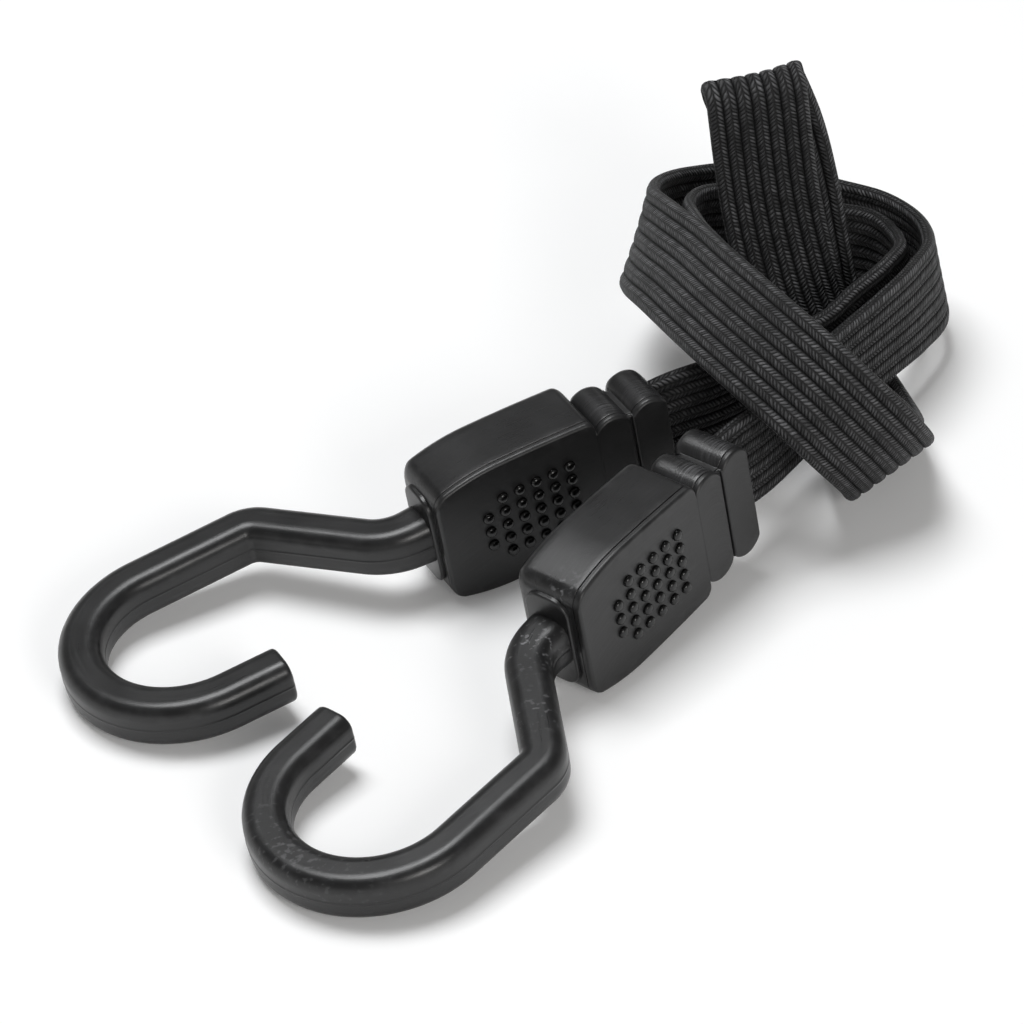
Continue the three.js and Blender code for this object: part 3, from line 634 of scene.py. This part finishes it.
def back_depth(u):
    """How far the tub's back reaches along v: the body with round ends, then the neck and the lobes."""
    front, rear = circle_drop(TUB_EDGE - u, TUB_EDGE), circle_drop(u - BODY_LENGTH + TUB_EDGE, TUB_EDGE)
    lobes = LOBE_BACK - circle_drop(from_lobe(u) - LOBE_REACH + LOBE_EDGE, LOBE_EDGE)
    neck = np.where(u < LOBES[-1], NECK_BACK, 0)
    return np.where(u <= BODY_LENGTH, BODY_HALF - front - rear, np.maximum(lobes, neck))


def along_housing():
    """Places along u, close together where the outline turns on a circle or steps."""
    turn = 1 - np.cos(np.linspace(0, np.pi / 2, TURN_STEPS))
    spots = [FRONT_CORNER * turn, TUB_EDGE * turn, EXTRA_EDGE * turn, np.linspace(0, REAR_END, EVEN_STEPS)]
    spots += [BODY_LENGTH - REAR_CORNER * turn, BODY_LENGTH - TUB_EDGE * turn, [BODY_LENGTH + HAIR]]
    spots += [middle + LOBE_REACH * np.cos(np.linspace(0, np.pi, LOBE_STEPS)) for middle in LOBES]
    spots += [LOBES[0] + LOBE_REACH + np.array([HAIR, NECK_SPOT, LOBE_PITCH - LOBE_LENGTH - HAIR])]
    places = np.unique(np.round(np.concatenate(spots), 3))
    return places[(places >= 0) & (places <= REAR_END)]


ALONG = along_housing()
print(len(ALONG), "places along a housing")

# %% Rounded rectangles in rings
ARC_STEPS = 7
SIDE_SHARES = np.array([0.1, 0.22, 0.36, 0.46, 0.485, 0.5, 0.515, 0.54, 0.64, 0.78, 0.9])
UV_PER_MM = 0.02


def rounded_rings(low, high, half, low_round, high_round):
    """Rings in v and w for many places at once: four arcs joined by divided sides, and a mask of the arcs."""
    low, high, half, low_round, high_round = np.broadcast_arrays(low, high, half, low_round, high_round)
    corners = [(high, high_round, 1, 1, 0), (low, low_round, -1, 1, 90)]
    corners += [(low, low_round, -1, -1, 180), (high, high_round, 1, -1, 270)]
    arcs = []
    for edge, bend, v_sign, w_sign, start in corners:
        angle = np.radians(start + np.linspace(0, 90, ARC_STEPS + 1))
        v = (edge - v_sign * bend)[:, None] + bend[:, None] * np.cos(angle)
        w = (w_sign * (half - bend))[:, None] + bend[:, None] * np.sin(angle)
        arcs.append(np.stack([v, w], -1))
    share = SIDE_SHARES[None, :, None]
    parts = []
    for arc, after in zip(arcs, arcs[1:] + arcs[:1]):
        parts += [arc, arc[:, -1:] * (1 - share) + after[:, :1] * share]
    mask = np.concatenate([np.ones(ARC_STEPS + 1), np.zeros(len(SIDE_SHARES))])
    return np.concatenate(parts, 1), np.tile(mask, 4)


def loft(name, fitting, u, rings, values):
    """Rings in v and w set at their places along u and turned onto the table; the UV is length and girth."""
    u = np.broadcast_to(np.asarray(u)[:, None], rings.shape[:2])
    local = np.concatenate([u[..., None], rings], -1)
    girth = np.cumsum(np.linalg.norm(np.diff(rings, axis=1, prepend=rings[:, -1:]), axis=2), axis=1)
    return tube(name, placed(fitting, local), values, np.stack([u, girth], -1) * UV_PER_MM)


print(4 * (ARC_STEPS + 1 + len(SIDE_SHARES)), "points round a ring")

# %% [markdown]
# ## Tubs
# The tub is the deep half, with rounded outer edges and the lobes' round backs. Its last rings turn in to the
# slot for the strap, so the mouth is a real opening and not a dark patch. Handling has rubbed the edges and
# front corners and scuffed one corner of end b. The rounded edges are also painted lighter as an edge
# highlight, and the lobes near the cover carry a painted highlight in brushed streaks. These places are stored
# on the points as values, so that the finish further down can find them.

# %% Tub rings
SEAM_EDGE = 0.16
TUB_RIM = -BODY_HALF + COVER_THICKNESS + SEAM
SLOT_HALF, SLOT_THICKNESS, SLOT_DEPTH, SLOT_CORNER = 7.3, 3.0, 4.5, 0.9


def tub_rings():
    """Rectangles from the rim to the back at each place along u, then the slot at the end and further in."""
    bend = np.where(ALONG <= BODY_LENGTH, TUB_EDGE, LOBE_EDGE)
    rings, arcs = rounded_rings(TUB_RIM, back_depth(ALONG), half_width(ALONG), SEAM_EDGE, bend)
    half_slot = np.full(2, SLOT_THICKNESS / 2)
    slot, _ = rounded_rings(-half_slot, half_slot, SLOT_HALF, SLOT_CORNER, SLOT_CORNER)
    u = np.concatenate([ALONG, [REAR_END, REAR_END - SLOT_DEPTH]])
    return u, np.concatenate([rings, slot]), arcs


TUB_U, TUB_RINGS, TUB_ARCS = tub_rings()
print(len(TUB_U), "rings in a tub")

# %% Tubs with their wear
TUB_WEAR_AND_HIGHLIGHT = 0.7
FRONT_PLACE, FRONT_SPREAD, FRONT_SIDE = 1.0, 1.4, 6
SCUFF_PLACE, SCUFF_SPREAD, SCUFF_SIDE = (1.6, -2.5), (2.2, 2.0), 8
SCUFF = {"a": 0, "b": 1}
# Painted highlight on the lobes near the cover, stronger on b; the same value also lowers their roughness
LOBE_HIGHLIGHT_PLACE, LOBE_HIGHLIGHT_SPREAD = 2.4, 2.6
LOBE_GLOSS_AND_HIGHLIGHT = {"a": 0.5, "b": 1.0}


def bell(offset):
    """A bell curve: e to the power of minus the offset squared."""
    return np.exp(-(offset**2))


def make_tub(name):
    """Bells along u and v put wear at the front corners and at one scuff, and a painted highlight on the lobes
    near the cover.
    """
    u, v, w = TUB_U[:, None], TUB_RINGS[..., 0], TUB_RINGS[..., 1]
    # Rubbed wear on the tub's rounded edges, painted lighter also as an edge highlight
    edge = np.broadcast_to(TUB_ARCS, v.shape) * (u < REAR_END)
    front = bell((u - FRONT_PLACE) / FRONT_SPREAD) * (np.abs(w) > FRONT_SIDE)
    scuff = bell((u - SCUFF_PLACE[0]) / SCUFF_SPREAD[0]) * bell((v - SCUFF_PLACE[1]) / SCUFF_SPREAD[1])
    scuff = scuff * (w > SCUFF_SIDE) * SCUFF[name]
    crest = np.clip(1 - from_lobe(TUB_U) / LOBE_REACH, 0, 1) * (TUB_U > BODY_LENGTH)
    near_cover = bell((v - TUB_RIM - LOBE_HIGHLIGHT_PLACE) / LOBE_HIGHLIGHT_SPREAD)
    lobe_gloss_and_highlight = crest[:, None] * near_cover * LOBE_GLOSS_AND_HIGHLIGHT[name]
    values = {"edge": np.maximum(edge * TUB_WEAR_AND_HIGHLIGHT, front), "scuff": scuff, "lobe_gloss_and_highlight": lobe_gloss_and_highlight}
    return loft(f"housing_shell_{name}", name, TUB_U, TUB_RINGS, values)


shells = {name: make_tub(name) for name in FITTINGS}
print("tub faces:", {name: len(piece.data.polygons) for name, piece in shells.items()})

# %% [markdown]
# ## Covers
# The cover is the flat half that carries the grip dots, and a thin seam parts it from the tub. Its face steps
# down by a shallow line behind the body and by a groove between the lobes. It is the same loft with other
# heights, so both halves share one outline and the seam stays even.

# %% Covers
COVER_EDGE, COVER_INSET = 0.65, 0.04
INNER_EDGE, INNER_MARGIN = 0.02, 0.1
LOBE_FACE_EDGE = 0.4
BODY_LINE = 0.16
COVER_WEAR_AND_HIGHLIGHT = 0.8


def cover_face(u):
    """The outer face along v: the body's, a shallow line, then the lobes with a groove between them."""
    front = circle_drop(COVER_EDGE - u, COVER_EDGE)
    lobe = LOBE_DROP + circle_drop(from_lobe(u) - LOBE_REACH + LOBE_FACE_EDGE, LOBE_FACE_EDGE)
    lobe = np.where(from_lobe(u) > LOBE_REACH, NECK_DROP, lobe)
    lobe = np.where(u < LOBES[0], np.minimum(lobe, BODY_LINE), lobe)
    return -BODY_HALF + np.where(u <= BODY_LENGTH, front, lobe)


def make_cover(name):
    """Rings from the outer face to the seam, a hair narrower than the tub, with wear and a painted highlight
    on the outer edge.
    """
    low, high = cover_face(ALONG), -BODY_HALF + COVER_THICKNESS
    wide, outer = half_width(ALONG) - COVER_INSET, np.minimum(COVER_EDGE, high - low)
    rings, arcs = rounded_rings(low, high, wide, outer, INNER_EDGE)
    # Rubbed wear on the cover's outer edge, painted lighter also as an edge highlight
    edge = np.broadcast_to(arcs, rings.shape[:2]) * (rings[..., 0] < high - INNER_MARGIN)
    values = {"edge": edge * COVER_WEAR_AND_HIGHLIGHT, "scuff": edge * 0}
    return loft(f"housing_cover_plate_{name}", name, ALONG, rings, values)


covers = {name: make_cover(name) for name in FITTINGS}
print("cover faces:", {name: len(piece.data.polygons) for name, piece in covers.items()})

# %% [markdown]
# ## Grip dots
# Small domes stand on the cover in six columns, the first one shorter. An array of one dot would do, but the
# short column breaks the pattern, so one profile is turned round every place at once. The dots are meshes
# and not bump, because they show against the light and in the outline of the face.

# %% Grip dots
DOT_COLUMNS, DOT_ROWS = 6, 5
DOT_ACROSS, DOT_ALONG, DOT_MIDDLE = 2.86, 3.14, 16.4
DOT_RADIUS, DOT_TURN = 1.02, 18
DOT_PROFILE = np.array([
    (1, -0.06), (0.98, 0.2), (0.92, 0.4), (0.78, 0.57), (0.57, 0.69), (0.32, 0.75), (0.1, 0.77),
])


def dot_places():
    """Columns and rows about the middle of the face, the first column with only its middle three."""
    column, row = np.meshgrid(np.arange(DOT_COLUMNS), np.arange(DOT_ROWS), indexing="ij")
    along, across = column - (DOT_COLUMNS - 1) / 2, row - (DOT_ROWS - 1) // 2
    keep = (column > 0) | (np.abs(across) <= 1)
    return np.stack([DOT_MIDDLE + along * DOT_ALONG, across * DOT_ACROSS], -1)[keep]


def make_dots(name):
    """Each dot is the profile turned round its middle, all of them at once by adding the places."""
    angle = np.radians(np.arange(0, 360, DOT_TURN))
    places = dot_places()[:, None, None]
    reach = DOT_RADIUS * DOT_PROFILE[None, :, None, 0]
    u = places[..., 0] + reach * np.cos(angle)
    w = places[..., 1] + reach * np.sin(angle)
    v = np.broadcast_to(-BODY_HALF - DOT_PROFILE[None, :, None, 1], u.shape)
    rows, columns = len(DOT_PROFILE), len(angle)
    start = rows * columns * np.arange(len(places))[:, None, None]
    walls = (grid_faces(rows, columns)[None] + start).reshape(-1, 4)
    lids = np.arange(columns)[None] + (rows - 1) * columns + start[:, 0]
    floors = np.arange(columns)[None, ::-1] + start[:, 0]
    points = placed(name, np.stack([u, v, w], -1).reshape(-1, 3))
    return mesh_piece(f"grip_dots_{name}", points, [walls, lids, floors])


dots = {name: make_dots(name) for name in FITTINGS}
print(len(dot_places()), "dots on each cover")

# %% [markdown]
# ## Hooks
# A hook is a rounded rod bent in one plane: out of the flange, off to one side, forward, and round the bow to
# a short tip with a rounded end. A Bezier curve could be pulled to this shape by eye. Here the bends are true
# arcs, so the heading is a straight-line function of the length along the rod, and adding up small steps
# gives the line. A fine mould line runs along its two sides, in the plane of the bend.

# %% Hook line
SHANK, SHANK_ANGLE, SHANK_BEND = 7.0, 47.5, 9.8
OBLIQUE = 24.9
OUTER, OUTER_ANGLE, OUTER_BEND = 20.9, -1.8, 5.0
BOW_RADIUS, BOW_SWEEP = 17.0, 178.7
TIP = 10.0
HOOK_START = 0.3
LINE_POINTS = 6001


def hook_line():
    """Heading against length is a chain of straight lines, flat on the straights and sloping on the bends."""
    back = SHANK_ANGLE - OUTER_ANGLE
    shank_trim = SHANK_BEND * math.tan(math.radians(SHANK_ANGLE) / 2)
    outer_trim = OUTER_BEND * math.tan(math.radians(back) / 2)
    lengths = [
        SHANK - shank_trim - HOOK_START, SHANK_BEND * math.radians(SHANK_ANGLE),
        OBLIQUE - shank_trim - outer_trim, OUTER_BEND * math.radians(back),
        OUTER - outer_trim, BOW_RADIUS * math.radians(BOW_SWEEP), TIP,
    ]
    stops = np.concatenate([[0], np.cumsum(lengths)])
    headings = np.radians(np.cumsum([0, 0, SHANK_ANGLE, 0, -back, 0, -BOW_SWEEP, 0]))
    at = np.linspace(0, stops[-1], LINE_POINTS)
    heading = np.interp(at, stops, headings)
    small = np.diff(at, prepend=0)
    x, y = np.cumsum(small * np.cos(heading)), np.cumsum(small * np.sin(heading))
    return at, HOOK_START + x, y, heading


HOOK_AT, HOOK_X, HOOK_Y, HOOK_HEADING = hook_line()
HOOK_LENGTH = HOOK_AT[-1]
print(f"hook rod {HOOK_LENGTH:.1f} mm along its line")

# %% Rod section
ROD_WIDTH, ROD_HEIGHT, ROD_CORNER = 7.4, 8.3, 2.4
MOULD_LINE, MOULD_LINE_HALF = 0.06, 0.1


def rod_section():
    """A rounded rectangle with a fine raised line at the middle of its two sides in the plane of the bend."""
    half, corner = np.array([ROD_WIDTH / 2]), np.array([ROD_CORNER])
    rings, arcs = rounded_rings(-half, half, np.array([ROD_HEIGHT / 2]), corner, corner)
    section = rings[0].copy()
    on_side = (arcs == 0) & (np.abs(section[:, 1]) < MOULD_LINE_HALF)
    section[:, 0] += np.sign(section[:, 0]) * MOULD_LINE * on_side
    return section, arcs


ROD, ROD_ARCS = rod_section()
print(len(ROD), "points round a rod")

# %% Hook rods
HOOK_STEP = 0.4
TIP_ROUND, TIP_TURN, TIP_STEPS = 0.8, 75, 6
ROOT_SWELL, ROOT_REACH, ROOT_FADE = 0.09, 10.0, 1.5
ROD_WEAR_AND_HIGHLIGHT, TIP_WEAR_AND_HIGHLIGHT = 0.8, 1.0
SCUFFED = {"a": [], "b": [(6.0, 5.0, 1.0), (22.0, 4.0, 0.5), (80.0, 14.0, 0.28)]}
UPRIGHT = np.array([0, 0, 1.0])


def make_hook(name):
    """The section carried along the line, swollen at the root and drawn in on a circle at the tip."""
    side = FITTINGS[name]["side"]
    straight = HOOK_LENGTH - TIP_ROUND
    turn = np.radians(np.linspace(0, TIP_TURN, TIP_STEPS + 1))
    even = np.linspace(0, straight, round(straight / HOOK_STEP))
    at = np.concatenate([even, straight + TIP_ROUND * np.sin(turn[1:])])
    x, y, heading = (np.interp(at, HOOK_AT, value) for value in (HOOK_X, HOOK_Y, HOOK_HEADING))
    inset = np.where(at > straight, circle_drop(at - straight, TIP_ROUND), 0)
    size = 1 - 2 * inset / ROD_WIDTH + ROOT_SWELL * np.clip(1 - at / ROOT_REACH, 0, 1) ** ROOT_FADE
    across = np.stack([np.sin(heading), side * np.cos(heading), 0 * at], -1)
    middle = np.stack([-x, side * y, 0 * at], -1)
    flat, high = ROD[None, :, :1] * size[:, None, None], ROD[None, :, 1:] * size[:, None, None]
    local = middle[:, None] + across[:, None] * flat + UPRIGHT * high
    # Rubbed wear on the rod's rounded corners and tip, painted lighter also as an edge highlight
    edge = np.maximum(ROD_ARCS[None] * ROD_WEAR_AND_HIGHLIGHT, (at > straight)[:, None] * TIP_WEAR_AND_HIGHLIGHT)
    scuffs = [depth * bell((at - spot) / spread) for spot, spread, depth in SCUFFED[name]]
    scuff = np.max([0 * at, *scuffs], 0)[:, None] * (ROD[None, :, 1] > 0)
    girth = np.cumsum(np.linalg.norm(np.diff(ROD, axis=0, prepend=ROD[-1:]), axis=1))
    uv = np.stack(np.broadcast_arrays(at[:, None], girth[None]), -1) * UV_PER_MM
    return tube(f"hook_rod_{name}", placed(name, local), {"edge": edge, "scuff": scuff}, uv)


hooks = {name: make_hook(name) for name in FITTINGS}
print("hook faces:", {name: len(piece.data.polygons) for name, piece in hooks.items()})

# %% [markdown]
# ## Flanges
# An oval collar closes the gap where the rod enters the housing. It is a thin plate, and its outer rim turns
# over on a small circle so that it catches a line of light. A bevelled cylinder would be round; the loft of
# rounded rectangles gives the longer oval of the real one.

# %% Flanges
FLANGE_WIDTH, FLANGE_DEPTH, FLANGE_CORNER = 17.8, 8.9, 3.2
FLANGE_BACK, FLANGE_FRONT, FLANGE_ROUND, FLANGE_STEPS = 0.9, 0.75, 0.4, 6
FLANGE_WEAR_AND_HIGHLIGHT = 0.25


def make_flange(name):
    """A rounded plate whose rim turns over on a small circle at its outer side."""
    turn = np.linspace(0, np.pi / 2, FLANGE_STEPS + 1)
    u = np.concatenate([[FLANGE_BACK], -FLANGE_FRONT + FLANGE_ROUND * (1 - np.sin(turn))])
    inset = np.concatenate([[0.0], FLANGE_ROUND * (1 - np.cos(turn))])
    half_v, half_w = FLANGE_DEPTH / 2 - inset, FLANGE_WIDTH / 2 - inset
    rings, _ = rounded_rings(-half_v, half_v, half_w, FLANGE_CORNER - inset, FLANGE_CORNER - inset)
    rim = np.zeros(rings.shape[:2])
    # The rim is painted lighter: a painted highlight along with some rubbed wear
    rim[2:-1] = FLANGE_WEAR_AND_HIGHLIGHT
    return loft(f"hook_flange_{name}", name, u, rings, {"edge": rim, "scuff": rim * 0})


flanges = {name: make_flange(name) for name in FITTINGS}
print("flange faces:", {name: len(piece.data.polygons) for name, piece in flanges.items()})

# %% [markdown]
# ## Moulded nylon finish
# The fittings are black nylon with a satin skin. Fine grain breaks up the gloss, long faint streaks follow
# the piece where it was drawn from the mould and handled, edges are rubbed a little lighter and painted as an
# edge highlight, and a few places carry pale scratches. The lobes carry a painted highlight in brushed streaks
# and a glossier satin. One flat black would look like a hole in the picture. The same effects serve the
# housings, the covers and the hooks, so they are node groups.

# %% Grain and streaks as node groups
BROAD_SHARE = 0.5

sockets = {"Vector": None, "Fine": 2400.0, "Broad": 140.0}
grain, given, out = group("moulded_grain", sockets, ["Height", "Mottle"])
broad = noise(grain, given["Vector"], given["Broad"], detail=5.0)
fine = noise(grain, given["Vector"], given["Fine"], detail=3.0)
grain.links.new(scaled(grain, broad, by=BROAD_SHARE, plus=fine), out["Height"])
grain.links.new(ramp(grain, broad, low=0.3, high=0.7), out["Mottle"])

streaks, given, out = group("long_streaks", {"Vector": None, "Along": 5.0, "Across": 190.0}, ["Mask"])
stretch = node(streaks, "ShaderNodeCombineXYZ", {"X": given["Along"], "Y": given["Across"]}).outputs[0]
pair = {0: given["Vector"], 1: stretch}
drawn = node(streaks, "ShaderNodeVectorMath", pair, operation="MULTIPLY").outputs[0]
hairs = ramp(streaks, noise(streaks, drawn, 1.0, detail=4.0), low=0.45, high=0.78)
streaks.links.new(hairs, out["Mask"])
print("groups:", grain.name, streaks.name)

# %% Rubbed edges with a painted edge highlight, and scratches, as node groups
RUB_SCALE = 380.0
SCRATCH_SCALES = (850.0, 1200.0, 1000.0)

# Rubbed wear on the edges, painted lighter also as an edge highlight
rubbed_and_highlit, given, out = group("rubbed_edges_and_painted_highlight", {"Vector": None, "Edge": 0.0, "Amount": 0.5}, ["Mask"])
patchy = ramp(rubbed_and_highlit, noise(rubbed_and_highlit, given["Vector"], RUB_SCALE, detail=6.0), low=0.45, high=0.72)
on_edge = calc(rubbed_and_highlit, "MULTIPLY", patchy, given["Edge"])
rubbed_and_highlit.links.new(calc(rubbed_and_highlit, "MULTIPLY", on_edge, given["Amount"]), out["Mask"])

scratches, given, out = group("pale_scratches", {"Vector": None, "Where": 0.0}, ["Mask"])
pair = {0: given["Vector"], 1: SCRATCH_SCALES}
squeezed = node(scratches, "ShaderNodeVectorMath", pair, operation="MULTIPLY").outputs[0]
flecks = ramp(scratches, noise(scratches, squeezed, 1.0, detail=6.0), low=0.57, high=0.66)
scratches.links.new(calc(scratches, "MULTIPLY", flecks, given["Where"]), out["Mask"])
print("groups:", rubbed_and_highlit.name, scratches.name)

# %% Nylon recipe
MOTTLE_LIGHT = 0.05
LOBE_HIGHLIGHT_LEAST, LOBE_HIGHLIGHT_HAIR = 0.12, 1.3
# Pale grey for the real scratches and for the painted highlight on the lobes
SCRATCH_AND_HIGHLIGHT_GREY = (0.14, 0.14, 0.145, 1)
MOTTLE_ROUGH, HAIR_ROUGH, POLISH_ROUGH, SCRATCH_ROUGH = 0.06, -0.1, -0.16, 0.3
GRAIN_HEIGHT = 0.00005


def nylon(name, dark, light, rough, streak, edge, relief):
    """Dark lightened by streaks, by rubbed edges that also carry a painted highlight, and by mottle, then by
    scratches and a painted lobe highlight; gloss to suit.
    """
    material, tree, shader = new_material(name)
    spot = node(tree, "ShaderNodeTexCoord").outputs["Object"]
    own = node(tree, "ShaderNodeUVMap", uv_map="lay").outputs["UV"]
    skin = use(tree, grain, {"Vector": spot})
    hair = use(tree, streaks, {"Vector": own})["Mask"]
    # Rubbed edges, lightened both as wear and as a painted edge highlight
    worn = use(tree, rubbed_and_highlit, {"Vector": spot, "Edge": own_value(tree, "edge"), "Amount": edge})["Mask"]
    pale = use(tree, scratches, {"Vector": spot, "Where": own_value(tree, "scuff")})["Mask"]
    lobe_gloss_and_highlight = own_value(tree, "lobe_gloss_and_highlight")
    lighter = scaled(tree, hair, by=streak, plus=worn)
    lighter = scaled(tree, skin["Mottle"], by=MOTTLE_LIGHT, plus=lighter)
    # Painted highlight: the lobes are lightened in brushed streaks
    painted_lobe_highlight = calc(tree, "MULTIPLY", lobe_gloss_and_highlight, scaled(tree, hair, by=LOBE_HIGHLIGHT_HAIR, plus=LOBE_HIGHLIGHT_LEAST))
    scratches_and_painted_highlight = calc(tree, "ADD", pale, painted_lobe_highlight)
    colour = mix(tree, scratches_and_painted_highlight, shade(tree, lighter, dark, light), SCRATCH_AND_HIGHLIGHT_GREY)
    tree.links.new(colour, shader.inputs["Base Color"])
    gloss = scaled(tree, skin["Mottle"], by=MOTTLE_ROUGH, plus=rough - MOTTLE_ROUGH / 2)
    gloss = scaled(tree, hair, by=HAIR_ROUGH, plus=gloss)
    gloss = scaled(tree, lobe_gloss_and_highlight, by=POLISH_ROUGH, plus=gloss)
    tree.links.new(scaled(tree, pale, by=SCRATCH_ROUGH, plus=gloss), shader.inputs["Roughness"])
    inputs = {"Height": skin["Height"], "Strength": relief, "Distance": GRAIN_HEIGHT}
    tree.links.new(node(tree, "ShaderNodeBump", inputs).outputs["Normal"], shader.inputs["Normal"])
    return material


shell_nylon = nylon("shell_nylon", dark=0.008, light=0.04, rough=0.34, streak=0.4, edge=0.6, relief=0.3)
cover_nylon = nylon("cover_nylon", dark=0.009, light=0.04, rough=0.42, streak=0.1, edge=0.6, relief=0.25)
hook_nylon = nylon("hook_nylon", dark=0.0085, light=0.038, rough=0.36, streak=0.05, edge=0.45, relief=0.25)
# Painted shade: the dots get a darker copy of the cover's nylon, which is also glossier
dot_nylon_painted_dark = nylon("dot_nylon_painted_dark", dark=0.003, light=0.01, rough=0.24, streak=0.0, edge=0.0, relief=0.1)
print("nylon for shells, covers, hooks and dots")

# %% Finish and ride of the fittings
for name in FITTINGS:
    for piece, finish, slot_name in (
        (shells[name], shell_nylon, "housing"),
        (covers[name], cover_nylon, "cover"),
        (dots[name], dot_nylon_painted_dark, "cover"),
        (hooks[name], hook_nylon, "hook"),
        (flanges[name], hook_nylon, "hook"),
    ):
        piece.data.materials.append(finish)
        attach(piece, f"end_{name}")
    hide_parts(f"housing_tub_{name}")
    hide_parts(f"housing_cover_{name}")
    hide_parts(f"hook_{name}")
print("fittings ride on", [f"end_{name}" for name in FITTINGS])

# %% [markdown]
# ## Hidden steel
# The steel core of each hook and the clip on the strap's cut end are inside. They keep the shapes of the
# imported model, which nothing here could better, and get a drawn steel finish: metal whose grey and roughness
# vary together with a fine noise.

# %% Drawn steel
STEEL_SCALE, STEEL_DARK, STEEL_LIGHT = 900.0, 0.42, 0.62
STEEL_ROUGH, STEEL_ROUGH_SPREAD = 0.25, 0.2

steel, tree, shader = new_material("drawn_steel")
spot = node(tree, "ShaderNodeTexCoord").outputs["Object"]
drawn = noise(tree, spot, STEEL_SCALE, detail=4.0)
tree.links.new(shade(tree, drawn, STEEL_DARK, STEEL_LIGHT), shader.inputs["Base Color"])
rough = scaled(tree, drawn, by=STEEL_ROUGH_SPREAD, plus=STEEL_ROUGH)
tree.links.new(rough, shader.inputs["Roughness"])
shader.inputs["Metallic"].default_value = 1.0
for node_name in ("hook_core_a", "hook_core_b", "strap_clip_a", "strap_clip_b"):
    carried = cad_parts[node_name]
    carried.data.materials.clear()
    carried.data.materials.append(steel)
print("steel on the cores and clips")

# %% [markdown]
# ## Floor and light
# The object lies on a seamless white table. Brighter lamps would whiten it, but they would wash out the black
# pieces too. So the floor has a little light of its own, seen by the camera and in reflections but not by
# the object's shading, more of it far away, and the shadows stay. The world is white along the horizon and
# dim overhead.

# %% Floor
FLOOR_SIZE = 4.0
PAPER, PAPER_ROUGH, PAPER_SPECULAR = (0.9, 0.9, 0.9, 1), 0.9, 0.1
NEAR_GLOW, FAR_GLOW = 0.1, 0.8

floor_mesh = bpy.data.meshes.new("floor")
corners = np.array([(-1, -1, 0), (1, -1, 0), (1, 1, 0), (-1, 1, 0)]) * FLOOR_SIZE / 2
floor_mesh.from_pydata(corners.tolist(), [], [(0, 1, 2, 3)])
floor = bpy.data.objects.new("floor", floor_mesh)
bpy.context.collection.objects.link(floor)
paper, tree, shader = new_material("white_paper")
shader.inputs["Base Color"].default_value = PAPER
shader.inputs["Roughness"].default_value = PAPER_ROUGH
shader.inputs["Specular IOR Level"].default_value = PAPER_SPECULAR
rays = node(tree, "ShaderNodeLightPath").outputs
seen = calc(tree, "MAXIMUM", rays["Is Camera Ray"], rays["Is Glossy Ray"])
seen = calc(tree, "MAXIMUM", seen, rays["Is Transmission Ray"])
place = node(tree, "ShaderNodeTexCoord").outputs["Object"]
reach = node(tree, "ShaderNodeVectorMath", {0: place}, operation="LENGTH").outputs["Value"]
level = scaled(tree, ramp(tree, reach, low=0.25, high=1.0), by=FAR_GLOW, plus=NEAR_GLOW)
glow = node(tree, "ShaderNodeEmission", {"Strength": calc(tree, "MULTIPLY", seen, level)})
both = node(tree, "ShaderNodeAddShader", {0: shader.outputs["BSDF"], 1: glow.outputs["Emission"]})
tree.links.new(both.outputs["Shader"], tree.nodes["Material Output"].inputs["Surface"])
floor.data.materials.append(paper)
print("floor", FLOOR_SIZE, "m wide")

# %% World
HORIZON, OVERHEAD = 0.6, 0.14
WARM_WHITE = (1.0, 0.99, 0.975, 1)

world = bpy.data.worlds.new("studio")
bpy.context.scene.world = world
world.use_nodes = True
tree = world.node_tree
direction = node(tree, "ShaderNodeTexCoord").outputs["Generated"]
rise = node(tree, "ShaderNodeSeparateXYZ", {"Vector": direction}).outputs["Z"]
level = scaled(tree, ramp(tree, rise, low=0.1, high=0.4), by=OVERHEAD - HORIZON, plus=HORIZON)
level = calc(tree, "MAXIMUM", level, ramp(tree, rise, low=0.1, high=0.02))
feed(tree, tree.nodes["Background"], {"Color": WARM_WHITE, "Strength": level})
print("world", HORIZON, "low in the sky and", OVERHEAD, "overhead")

# %% [markdown]
# ## Soft lamps
# The photograph has one large soft lamp above and a little behind and to the left, which lights the upper
# faces and lets soft shadows fall forward, and weak light from the front, which keeps the near sides from
# going black. A sun or a point lamp would make hard shadows, so both are area lamps. The Standard view shows
# the colours as they are written.

# %% Lamps


def softbox(name, place, aim, size, watts, tint):
    """An area lamp at a place whose face is turned to look at a point."""
    light = bpy.data.objects.new(name, bpy.data.lights.new(name, "AREA"))
    light.data.shape = "RECTANGLE"
    light.data.size, light.data.size_y = size
    light.data.energy = watts
    light.data.color = tint
    turn = (Vector(aim) - Vector(place)).to_track_quat("-Z", "Y")
    light.matrix_world = Matrix.Translation(place) @ turn.to_matrix().to_4x4()
    bpy.context.collection.objects.link(light)
    return light


lamps = [
    softbox(
        "top_box", place=(-0.14, 0.25, 1.0), aim=(0.02, 0.03, 0), size=(0.58, 0.5), watts=9.0,
        tint=(0.98, 0.99, 1.0),
    ),
    softbox(
        "front_fill", place=(0.38, -0.72, 0.46), aim=(0.04, 0.05, 0.03), size=(0.34, 0.3), watts=2.6,
        tint=(1.0, 0.985, 0.965),
    ),
]
bpy.context.scene.view_settings.view_transform = "Standard"
print("lamps:", [lamp.name for lamp in lamps])
